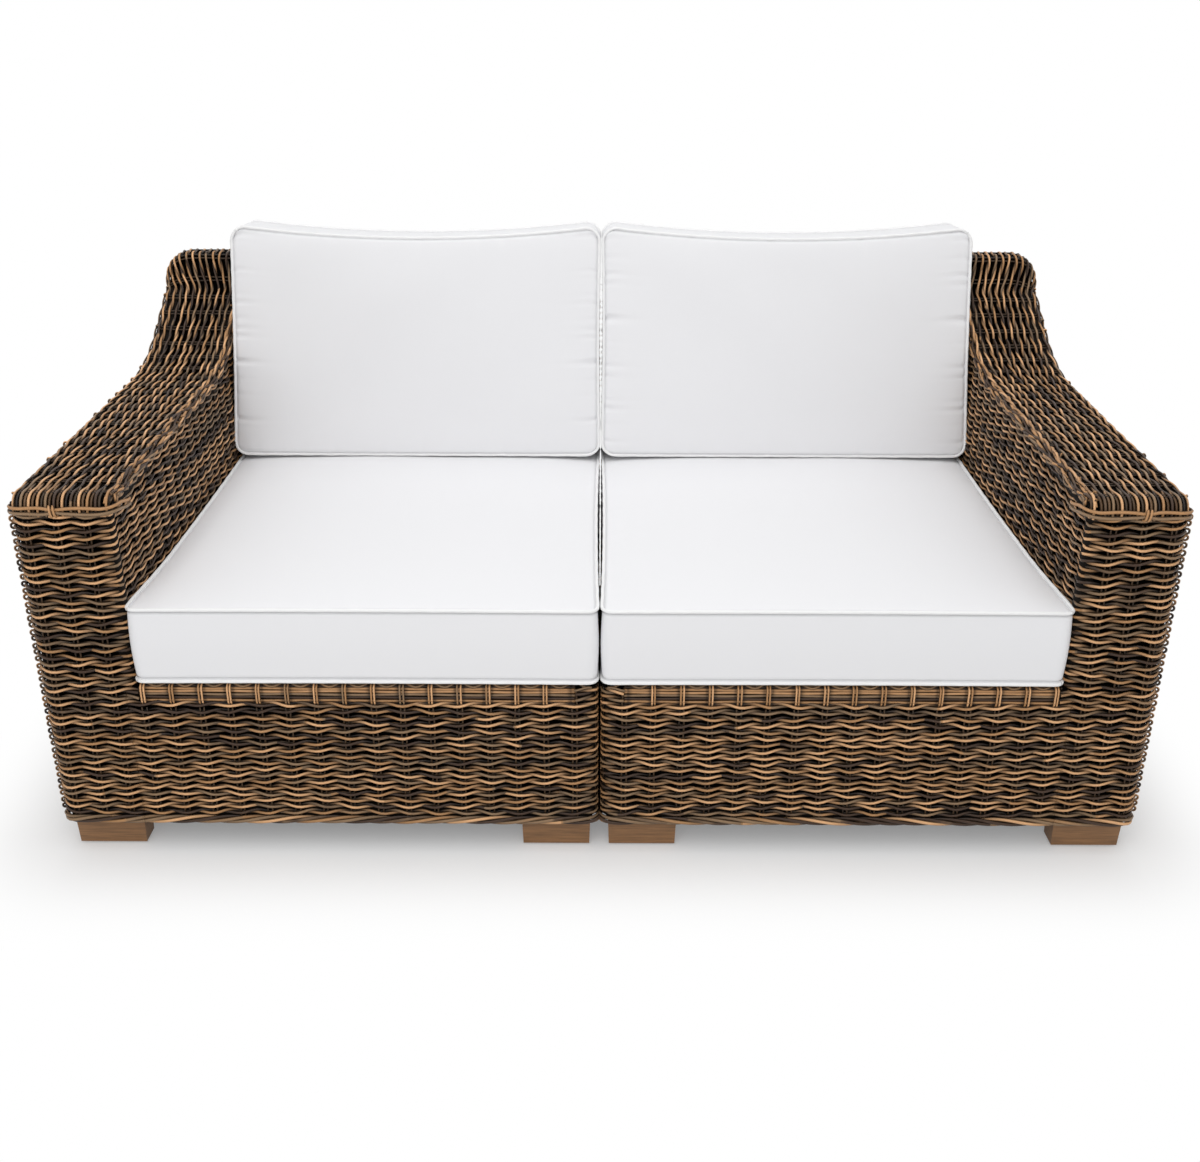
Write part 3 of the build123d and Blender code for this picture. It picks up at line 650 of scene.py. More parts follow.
    def lining(self, surface, span, across, pitch, keep, depth, marks):
        """The unlit inner side of the weave: a sheet behind the strands, on the same
        surface set in by the weave's whole thickness."""
        sizes = self.settings
        u = np.linspace(*span, int((span[1] - span[0]) / pitch * 3) + 2)
        u = np.unique(np.concatenate((u, marks)))
        v = np.linspace(*across, int((across[1] - across[0]) / sizes.row_pitch * 1.5) + 2)
        v = np.unique(np.concatenate((v, self.levels)))
        u, v = np.meshgrid(u, v, indexing="ij")
        place, normal = frames(surface, u, v)
        shown = keep(place)
        behind = depth(u) + sizes.relief + sizes.strand_thickness / 2
        verts = (place - normal * behind[..., None]).reshape(-1, 3)
        index = np.arange(u.size).reshape(u.shape)
        cells = shown[:-1, :-1] & shown[1:, :-1] & shown[1:, 1:] & shown[:-1, 1:]
        quads = np.stack((index[:-1, :-1], index[:-1, 1:], index[1:, 1:], index[1:, :-1]), -1)
        quads = quads[cells]
        uv = np.stack((u, v), -1).reshape(-1, 2)[quads]
        return {
            "verts": verts,
            "quads": quads,
            "uv": uv,
            "caps": np.zeros((0, 5), int),
            "tone": np.zeros(len(verts)),
            "painted_shade": np.zeros(len(verts)),
            "slot": 1,
        }

    def braid(self, at, span, low):
        """Strands twisted round each other along the hem: strand k stands off by sin and
        cos of the distance along, a quarter of a turn after the last."""
        sizes = self.settings
        turn_length, half_height, half_depth, proud = 0.170, 0.0052, 0.0026, 0.0020
        u = np.linspace(*span, int((span[1] - span[0]) / 0.008) + 2)
        numbers = np.arange(4)
        turn = 2 * math.pi * u / turn_length + numbers[:, None] * math.pi / 2
        u = np.broadcast_to(u, turn.shape)
        height = low + 0.0060 + np.cos(turn) * half_height
        height = height + self.wander(numbers, u) * 0.0008
        tone = self.tone(0, numbers, u) * np.array((0.42, 0.55, 0.42, 1.0))[:, None]
        # Painted shade on the half of each turn that lies back
        painted_shade = 0.35 - 0.35 * np.sin(turn)
        out = np.sin(turn) * half_depth + proud
        width, thickness = sizes.strand_width * 0.62, sizes.strand_thickness / 2
        return [laid(wall(at), u, height, out, width, thickness, tone, painted_shade)]


# Materials


def set_sockets(tree, node, sockets):
    """Gives each named socket its value, or links it to another node's output, the first
    one where a whole node is given."""
    for key, value in sockets.items():
        if isinstance(value, bpy.types.Node):
            value = value.outputs[0]
        if isinstance(value, bpy.types.NodeSocket):
            tree.links.new(value, node.inputs[key])
        else:
            node.inputs[key].default_value = value


def add_node(tree, kind, sockets=None, stops=None, **settings):
    """Adds a shader node and sets its own settings, its colour stops and its sockets."""
    node = tree.nodes.new("ShaderNode" + kind)
    for name, value in settings.items():
        setattr(node, name, value)
    if stops:
        elements = node.color_ramp.elements
        while len(elements) < len(stops):
            elements.new(0.5)
        for element, (place, colour) in zip(elements, stops):
            element.position, element.color = place, colour
    set_sockets(tree, node, sockets or {})
    return node


def new_material(name, constants):
    """A material with its shader's constant sockets set, ready for the rest, and the
    place on the object that its patterns are laid out by."""
    material = bpy.data.materials.new(name)
    material.use_nodes = True
    tree = material.node_tree
    shader = tree.nodes["Principled BSDF"]
    set_sockets(tree, shader, constants)
    return material, tree, shader, add_node(tree, "TexCoord").outputs["Object"]


def resin_wicker(weave):
    """Extruded polyethylene strand, through-coloured in four mixed browns.

    The eye sees single strands in different browns, each faintly streaked along its
    length, with a soft satin highlight on the dark ones.
    """
    material, tree, shader, spot = new_material(
        "extruded_resin_strand", {"Roughness": 0.44, "Specular IOR Level": 0.26}
    )
    colours = (weave.dark, weave.grey, weave.brown, weave.tan)
    dark, grey, brown, tan = ((*colour, 1) for colour in colours)
    tone = add_node(tree, "Attribute", attribute_name="tone").outputs["Fac"]
    # Blotches of about 25 mm along each strand
    blotch = add_node(tree, "TexNoise", {"Vector": spot, "Scale": 34.0, "Detail": 2.0})
    shifted = add_node(tree, "Math", {0: blotch, 1: 0.14, 2: tone}, operation="MULTIPLY_ADD")
    centred = add_node(tree, "Math", {0: shifted, 1: 0.07}, operation="SUBTRACT")
    stops = [(0.13, dark), (0.21, grey), (0.36, grey), (0.45, brown), (0.62, brown), (0.76, tan)]
    colour = add_node(tree, "ValToRGB", {"Fac": centred}, stops=stops)
    # Streaks along the strand: the die leaves lines about 0.6 mm apart
    strand = add_node(tree, "UVMap", uv_map="strand")
    stretched = add_node(tree, "Mapping", {"Vector": strand, "Scale": (24.0, 45.0, 1.0)})
    streak = add_node(tree, "TexNoise", {"Vector": stretched, "Scale": 1.0, "Detail": 3.0})
    bright = add_node(
        tree,
        "MapRange",
        {"Value": streak, "From Min": 0.3, "From Max": 0.7, "To Min": 0.78, "To Max": 1.18},
    )
    # Painted light and shade: a strand's crest is painted lighter and its two flanks darker
    round_share = add_node(tree, "SeparateXYZ", {"Vector": strand})
    angle = add_node(tree, "Math", {0: round_share, 1: 2 * math.pi}, operation="MULTIPLY")
    facing = add_node(tree, "Math", {0: angle}, operation="SINE")
    painted_crest_light = add_node(
        tree,
        "MapRange",
        {"Value": facing, "From Min": -0.1, "From Max": 0.95, "To Min": 0.30, "To Max": 1.26},
        interpolation_type="SMOOTHSTEP",
    )
    streaks_and_painted_crest = add_node(tree, "Math", {0: bright, 1: painted_crest_light}, operation="MULTIPLY")
    # Painted shade: the recessed half of each turn is painted darker than its proud half
    painted_shade = add_node(tree, "Attribute", attribute_name="painted_shade").outputs["Fac"]
    sunk = add_node(
        tree, "MapRange", {"Value": painted_shade, "From Max": 0.93, "To Min": 1.0, "To Max": 0.05}
    )
    factor = add_node(tree, "Math", {0: streaks_and_painted_crest, 1: sunk}, operation="MULTIPLY")
    shaded = add_node(tree, "VectorMath", {0: colour, "Scale": factor}, operation="SCALE")
    bump = add_node(tree, "Bump", {"Height": streak, "Strength": 0.35, "Distance": 0.0004})
    set_sockets(tree, shader, {"Base Color": shaded, "Normal": bump})
    return material


def dark_hollow():
    """The inside of the woven shell as it shows through the weave.

    The eye sees no surface there, only darkness, so the sheet is close to black, without
    gloss, and faintly mottled in steps of about 10 mm.
    """
    matt = {"Roughness": 1.0, "Specular IOR Level": 0.0}
    material, tree, shader, spot = new_material("dark_hollow", matt)
    mottle = add_node(tree, "TexNoise", {"Vector": spot, "Scale": 100.0})
    stops = [(0.3, linear("#030202")), (0.7, linear("#0A0807"))]
    shade = add_node(tree, "ValToRGB", {"Fac": mottle}, stops=stops)
    set_sockets(tree, shader, {"Base Color": shade})
    return material


def woven():
    """The weave's settings and its two materials."""
    settings = bpy.context.scene.loveseat_weave
    return settings, (resin_wicker(settings), dark_hollow())


def canvas(name, colour, thread, roughness):
    """Solution-dyed acrylic canvas in a plain weave.

    The eye sees an even, near-white, matt cloth whose threads only show as a fine grain,
    a shade darker between them.
    """
    material, tree, shader, spot = new_material(
        name, {"Roughness": roughness, "Sheen Weight": 0.12, "Sheen Roughness": 0.5}
    )
    cloth = add_node(tree, "UVMap", uv_map="cloth").outputs["UV"]
    # One wave per thread both ways: the wave texture turns once in 2 pi / 20 units of scale
    scale = 2 * math.pi / 20 / thread
    waving = {"Vector": cloth, "Scale": scale, "Distortion": 1.2, "Detail": 1.0}
    across, along = (
        add_node(tree, "TexWave", waving, bands_direction=direction).outputs["Fac"]
        for direction in ("X", "Y")
    )
    threads = add_node(tree, "Math", {0: across, 1: along}, operation="MAXIMUM")
    # Slubs and uneven dye, 15 to 60 mm
    cloudy = add_node(tree, "TexNoise", {"Vector": spot, "Scale": 28.0, "Detail": 4.0})
    shade = add_node(tree, "Math", {0: cloudy, 1: 0.05, 2: threads}, operation="MULTIPLY_ADD")
    bright = add_node(tree, "MapRange", {"Value": shade, "From Max": 1.05, "To Min": 0.95})
    # Painted shade: the sewn line beside each welt lies in a crease and is painted up to a fifth
    # darker than the cloth
    crease = add_node(tree, "Attribute", attribute_name="painted_shade").outputs["Fac"]
    crease_shade = add_node(tree, "MapRange", {"Value": crease, "To Min": 1.0, "To Max": 0.80})
    level = add_node(tree, "Math", {0: bright, 1: crease_shade}, operation="MULTIPLY")
    tinted = add_node(tree, "VectorMath", {0: tuple(colour), "Scale": level}, operation="SCALE")
    bump = add_node(tree, "Bump", {"Height": threads, "Strength": 0.25, "Distance": 0.0003})
    set_sockets(tree, shader, {"Base Color": tinted, "Normal": bump})
    return material


def grained_wood(colour):
    """Hardwood block, stained brown and sealed satin.

    The eye sees lengthwise grain lines a few millimetres apart, darker in the pores.
    """
    material, tree, shader, spot = new_material("stained_hardwood", {"Roughness": 0.5})
    along = add_node(tree, "Mapping", {"Vector": spot, "Scale": (6.0, 90.0, 90.0)})
    figure = {"Vector": along, "Scale": 3.0, "Detail": 6.0, "Roughness": 0.6}
    grain = add_node(tree, "TexNoise", figure)
    dark = tuple(0.72 * part for part in colour)
    light = tuple(min(1.0, 1.18 * part) for part in colour)
    stops = [(0.34, (*dark, 1)), (0.66, (*light, 1))]
    stain = add_node(tree, "ValToRGB", {"Fac": grain}, stops=stops)
    bump = add_node(tree, "Bump", {"Height": grain, "Strength": 0.3, "Distance": 0.0004})
    set_sockets(tree, shader, {"Base Color": stain, "Normal": bump})
    return material


def grained_solid(name, colour, roughness, metallic, grain, depth):
    """Coated, cast or moulded surface: one colour with a fine grain.

    The eye sees an even surface, broken by a grain of that many millimetres in its tone,
    gloss and height.
    """
    material, tree, shader, spot = new_material(name, {"Metallic": metallic})
    fine = add_node(tree, "TexNoise", {"Vector": spot, "Scale": 1000 / grain, "Detail": 3.0})
    stops = [(0.3, (*[0.86 * part for part in colour], 1)), (0.7, (*colour, 1))]
    tone = add_node(tree, "ValToRGB", {"Fac": fine}, stops=stops)
    limits = {"To Min": roughness - 0.06, "To Max": roughness + 0.06}
    gloss = add_node(tree, "MapRange", {"Value": fine, **limits})
    bump = add_node(tree, "Bump", {"Height": fine, "Strength": 0.4, "Distance": depth / 1000})
    set_sockets(tree, shader, {"Base Color": tone, "Roughness": gloss, "Normal": bump})
    return material


# Woven faces


def add_weave(side, node, parts, materials):
    """One woven piece of a module, in the place of its plain CAD panel."""
    name, body = f"{side}_{node}_strands", f"{side}_module"
    piece = make_piece(name, parts, materials, body, side == "right")
    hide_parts(f"{side}_{node}")


def weave_walls():
    """Every upright woven face of both modules, with the braided hem."""
    settings, materials = woven()
    at, ends = plan_line()
    inner, arm_from, _, side_from, side_to = ends[1:6]
    rear_to, seam_from, seam_to, front_from, last = ends[7:]
    around = last - arm_from
    pitch = around / STAKES_AROUND
    first = arm_from + 0.0202
    _, profile, _, _ = arm_profile()
    outline = profile(np.linspace(0, 1.3, 900))
    order = np.argsort(outline[:, 0])
    line_y, line_z = outline[order, 0], np.maximum.accumulate(outline[order, 1])
    rows = np.arange(hem + 0.0205, back_top - 0.004, settings.row_pitch)

    def under_arm(place, inset):
        return place[..., 2] < np.interp(place[..., 1], line_y, line_z) - inset

    def keep_inner(place):
        behind = place[..., 1] < face_y(place[..., 2]) + 0.004
        return under_arm(place, 0.005) & behind & (place[..., 2] > arm_seat_z)

    def keep_front(place):
        low = (place[..., 0] < x_arm - CORNER + 0.001) | (place[..., 2] > arm_seat_z - 0.004)
        return low & (place[..., 2] < ARM_HEIGHT - LIP - 0.008)

    def keep_side(place):
        return under_arm(place, 0.009) & (place[..., 2] < back_top - BACK_CORNER + 0.003)

    def keep_rear(place):
        past = np.clip(x_outer + BACK_CORNER - place[..., 0], 0, BACK_CORNER)
        drop = BACK_CORNER - np.sqrt(BACK_CORNER**2 - past**2)
        return place[..., 2] < back_top - drop - 0.020

    def keep_seam(place):
        below = place[..., 2] < seat_z - 0.002
        back = place[..., 1] > face_y(place[..., 2]) + 0.003
        return (below | back) & (place[..., 2] < back_top - 0.008)

    def keep_apron(place):
        x = place[..., 0]
        at_ends = (x > rail_box[1][0] - 0.001) | (x < rail_box[0][0] + 0.001)
        return place[..., 2] < np.where(at_ends, seat_z - 0.004, rail_box[0][2] + 0.0065)

    def stand_out(u):
        """Height of the weave above its panel: it sinks towards the arm's front corner,
        where the cushion swells, stands out over the front, less so along the side and
        the back, and is flush again at the seam."""
        turned = smooth_step(u, inner, arm_from)
        sunk = CORNER_SINK * smooth_step(u, inner - 0.28, inner) * (1 - turned)
        less = (FRONT_PROUD - SIDE_PROUD) * smooth_step(u, side_from + 0.05, side_from + 0.20)
        return (FRONT_PROUD - less) * turned * (1 - smooth_step(u, rear_to, seam_from)) - sunk

    def apron_out(u):
        return FRONT_PROUD * smooth_step(u + around, seam_to, front_from)

    # The apron is woven as the stretch before the arm's front, so that their rows join
    near = wall(lambda distance: at(distance + around))
    rail_ends = [arm_from + x_arm - CORNER - rail_box[end][0] for end in (0, 1)]
    faces = (
        ("arm_inner_weave", wall(at), (0, inner), keep_inner, stand_out, ()),
        ("arm_front_weave", wall(at), (inner, side_from), keep_front, stand_out, (arm_from,)),
        ("outer_side_weave", wall(at), (side_from, side_to), keep_side, stand_out, ()),
        ("back_outer_weave", wall(at), (side_to, seam_from), keep_rear, stand_out, ()),
        ("inner_side_weave", wall(at), (seam_from, seam_to), keep_seam, flush, ()),
        ("apron_weave", near, (seam_to - around, arm_from), keep_apron, apron_out, rail_ends),
    )
    for number, side in enumerate(SIDES):
        loom = Loom(11 + number, settings, len(rows))
        loom.levels = (rail_box[0][2] + 0.0064, seat_z - 0.0041)
        for node, surface, span, keep, proud, marks in faces:
            stakes = (hem + 0.010, rows[-1])
            steps = {"arm_inner_weave": 8, "back_outer_weave": 5}.get(node, 6)
            shape = (1.0, proud, 0.90, 1.0, 1.0)
            if node == "arm_inner_weave":
                shape = (0.6, proud, 0.96, 0.72, 0.86)
            weave = (surface, span, rows, pitch, first, keep, stakes, shape)
            parts = loom.weave(*weave, marks=marks, steps=steps)
            if node == "apron_weave":
                parts += loom.braid(lambda distance: at(distance + around), span, hem)
            elif span[0] >= inner:
                parts += loom.braid(at, (max(span[0], arm_from), span[1]), hem)
            if node == "arm_front_weave":
                capped = (inner - 0.05, side_from + 0.03)
                parts += cap_strands(loom, surface, capped, first + pitch)
                low_rows = rows[rows < ARM_HEIGHT - LIP - 0.010]
                parts += corner_rings(loom, surface, side_from - 0.004, low_rows, 81 + number)
            add_weave(side, node, parts, materials)


def corner_rings(loom, surface, turn_at, rows, seed):
    """Where each pair of strands turns round the arm's outer corner it opens into a small
    ring: middle + radius * (cos outward, sin upward)."""
    sizes = loom.settings
    draw = np.random.default_rng(seed)
    rows = rows[:, None] + draw.uniform(-0.0012, 0.0012, (len(rows), 1))
    turn = np.linspace(0, 2 * math.pi, 11)
    radius = draw.uniform(0.0038, 0.0048, (len(rows), 1))
    height = rows + radius * np.sin(turn)
    place, normal = frames(surface, turn_at + 0 * height, height)
    lines = place + normal * (0.0030 + radius * np.cos(turn))[..., None]
    tone = draw.uniform(0.05, 0.75, (len(rows), 1))
    half = sizes.strand_width * 0.40
    across = np.cross(np.gradient(lines, axis=1), (0.0, 1.0, 0.0))
    return [tubes(lines, across, half, half, everywhere(place), tone)]


def cap_strands(loom, surface, span, knot):
    """Two strands laid side by side across the top of the arm's front, bound together in
    the middle."""
    sizes = loom.settings
    lip_foot, proud = ARM_HEIGHT - LIP, 0.0050
    u = np.broadcast_to(np.linspace(*span, 60), (2, 60))
    heights = np.array((lip_foot + 0.0030, lip_foot - 0.0065))[:, None]
    ends = np.minimum(u - span[0], span[1] - u)
    pull = bell(u, knot, 0.012) * np.array((-1, 1))[:, None] * 0.0022
    v = heights - 0.010 * (1 - smooth_step(ends, 0, 0.06)) + pull
    v = v + np.sin(u * 90 + heights * 900) * STRAY
    width, thickness = sizes.strand_width * 0.56, sizes.strand_thickness * 0.55
    tone = np.array([[0.60], [0.32]])
    strands = laid(surface, u, v, proud, width, thickness, tone)
    turn = np.linspace(-2.2, 2.2, 13)
    u = knot + np.array((-0.003, 0.003))[:, None] + turn * 0.0012
    v = lip_foot - 0.0018 + np.sin(turn) * 0.0085
    out, tone = proud + 0.0042 * np.cos(turn), np.array([[0.5], [0.66]])
    binding = laid(surface, u, v + 0 * u, out, width * 0.8, thickness * 0.8, tone)
    return [strands, binding]


def weave_arms():
    """The caps of both arms, up the wings and ears, with cut ends along their inner ridge
    and the cross stakes' loops along their outer edge."""
    settings, materials = woven()
    whole, profile, ear, top = arm_profile()
    surface, across = arm_band(profile, ear, top)
    rows = np.linspace(0.004, across - 0.003, int(round(across / settings.row_pitch)))
    pitch, first = 0.0465, 0.095

    def slack(u):
        """All of it over the arm's front lip, where the strands lie side by side."""
        return 1 - smooth_step(u, 0.045, 0.085)

    def proud(u):
        return CAP_PROUD + 0 * u

    for number, side in enumerate(SIDES):
        loom = Loom(21 + number, settings, len(rows))
        stakes = (0.0, across)
        weave = (surface, (0, whole), rows, pitch, first, everywhere, stakes)
        parts = loom.weave(*weave, (0.3, proud, 0.98, 0.65, 0.94), slack=slack)
        parts += ridge(loom, surface, across, ear, 31 + number)
        places = np.arange(first - pitch, ear + 0.05, pitch)
        parts += edge_loops(loom, surface, places, 33 + number)
        add_weave(side, "arm_top_weave", parts, materials)


def ridge(loom, surface, across, ear, seed):
    """Long strands that run along the arm's inner ridge and dip in and out of it, and the
    cut ends of others, which are most where the arm begins."""
    sizes = loom.settings
    draw = np.random.default_rng(seed)
    width, thickness = sizes.strand_width * 0.5, sizes.strand_thickness * 0.5
    u = np.broadcast_to(np.linspace(0.02, ear + 0.05, 110), (4, 110))
    shift = np.array((-0.016, -0.010, -0.004, 0.002))[:, None]
    v = across + shift + np.sin(u * 46 + shift * 900) * 0.0036
    height = np.sin(u * 134 + shift * 500) * 0.0022 - 0.0010
    tone = np.array([[0.60], [0.12], [0.52], [0.30]])
    parts = [laid(surface, u, v, height, width, thickness, tone)]
    count = 30
    middle = 0.03 + (ear - 0.04) * draw.uniform(0, 1, count) ** 1.7
    share = np.linspace(0, 1, 4)
    u = middle[:, None] + share * draw.uniform(-0.016, 0.016, count)[:, None]
    v = across - 0.024 + draw.uniform(0, 0.024, count)[:, None]
    v = v + share * draw.uniform(-0.006, 0.006, count)[:, None]
    place, normal = frames(surface, u, v)
    rise = np.array((-0.005, -0.002, 0.0005, 0.0028)) * draw.uniform(0.4, 1.1, count)[:, None]
    lines = place + normal * rise[..., None]
    tone = draw.uniform(0.1, 0.7, count)[:, None]
    width, thickness = width * 0.85, thickness * 0.85
    parts.append(tubes(lines, np.roll(normal, 1, -1), width, thickness, everywhere(place), tone))
    return parts


def edge_loops(loom, surface, places, seed):
    """Where the cross stakes turn round the arm's outer edge, each stands out as a small
    ring: centre + radius * (cos, sin) in the section across the arm."""
    draw = np.random.default_rng(seed)
    places = places[draw.uniform(0, 1, len(places)) < 0.5]
    places = places + draw.uniform(-0.012, 0.012, len(places))
    turn = np.linspace(0, 2 * math.pi, 13)
    radius = draw.uniform(0.0034, 0.0046, len(places))[:, None]
    u = places[:, None] + turn * 0.0006
    v = 0.010 + radius * np.cos(turn)
    height = radius * np.sin(turn) - 0.0004
    tone = draw.uniform(0.2, 1, len(places))[:, None]
    half = loom.settings.stake_width * 0.55
    return [laid(surface, u, v, height, half, half, tone)]


def weave_backs():
    """The leaning inner faces and the bound tops of both backs."""
    settings, materials = woven()
    width = x_seam - x_arm
    spaced = width / STAKES_ON_BACK
    rise = (back_top - seat_z) / math.cos(LEAN)
    rows = np.arange(0.004, rise - 0.018, settings.row_pitch)
    whole, profile, _, top = arm_profile()
    begin = top - 0.014
    cap = extruded(profile)
    cap_rows = np.arange(x_arm + 0.004, x_seam - 0.003, settings.row_pitch)
    for number, side in enumerate(SIDES):
        loom = Loom(41 + number, settings, max(len(rows), len(cap_rows)))
        stakes = (0.0, rise - 0.016)
        face = loom.weave(leaning_face, (0.002, width), rows, spaced, 0.02, everywhere, stakes)
        add_weave(side, "back_inner_weave", face, materials)
        stakes = (x_arm, x_seam - 0.001)
        bound = loom.weave(cap, (begin, whole), cap_rows, 0.034, begin + 0.02, everywhere, stakes)
        add_weave(side, "back_top_weave", bound, materials)


def wrap_rails():
    """The front seat rails: strands laid along each rail, bound by double ties, with a
    waving strand along the upper front edge and a second one beyond the rail's end."""
    settings, materials = woven()
    tie_pitch, tie_half_gap = 0.0477, 0.0026
    (x_low, y_low, z_low), (x_high, y_high, z_high) = rail_box
    half_y, half_z, bend = (y_high - y_low) / 2, (z_high - z_low) / 2, 0.008
    quarter = (bend * math.pi / 2, -math.pi / 2)
    rise, depth = (2 * half_z - 2 * bend, 0), (2 * half_y - 2 * bend, 0)
    runs = [rise, quarter, depth, quarter, rise, quarter, depth, quarter]
    around, at = bent_line((y_low, z_low + bend), math.pi / 2, runs)

    def round_rail(u, distance):
        """The rail's skin: u runs towards -X and the distance up its front and round."""
        spot = at(distance % around)
        return np.stack((0 * distance - u, spot[..., 0], spot[..., 1]), -1)

    ties = np.arange(0.042, 0.004 - x_low, tie_pitch)
    ties = ties[ties > 0.004 - x_high]
    for number, side in enumerate(SIDES):
        draw = np.random.default_rng(51 + number)
        count = int(around / 0.0056)
        v = np.linspace(0, around, count, endpoint=False)[:, None]
        u = np.broadcast_to(np.linspace(-x_high, -x_low, 200), (count, 200))
        sag = np.sin(u * 31 + v * 400) * STRAY
        tone = np.array((0.58, 0.06, 0.24, 0.66))[np.arange(count) % 4][:, None]
        width, thickness = 0.0025, settings.strand_thickness / 2
        # Painted shade: the laid strands are darkened beside each tie
        near_tie = np.abs((u - ties[0] + 0.0238) % tie_pitch - 0.0238)
        shade = 0.62 * bell(near_tie, 0.0060, 0.0035) + 0.10
        parts = [laid(round_rail, u, v + sag, -0.0022, width, thickness, tone, shade)]
        turns = np.broadcast_to(np.linspace(0, around, 49), (2 * len(ties), 49))
        pairs = np.concatenate((ties - tie_half_gap, ties + tie_half_gap))
        pairs = pairs + draw.uniform(-0.0006, 0.0006, len(pairs))
        tone = draw.uniform(0.35, 0.95, len(pairs))[:, None]
        u = pairs[:, None] + 0 * turns
        parts.append(laid(round_rail, u, turns, 0.0006, 0.0017, 0.0021, tone))
        u = np.linspace(0.012 - x_seam, -x_low, 130)[None]
        wave = np.cos((u - ties[0]) / tie_pitch * 2 * math.pi) * np.array([[1], [-0.6]])
        height = 2 * half_z - bend + np.array([[0.002], [-0.0035]]) + 0.0034 * wave
        place, normal = frames(round_rail, u + 0 * wave, height)
        lines = place + normal * (0.0020 + 0.0014 * wave)[..., None]
        shown = (place[..., 0] > x_high - 0.004) | (height > 2 * half_z - bend - 0.0020)
        shown[1] = place[1, :, 0] > x_high - 0.004
        tone = np.array([[0.38], [0.30]])
        # The waving strands carry a little painted shade
        parts.append(tubes(lines, normal, 0.0022, 0.0020, shown, tone, 0.25))
        add_weave(side, "wrapped_seat_rail", parts, materials)


# Cushions


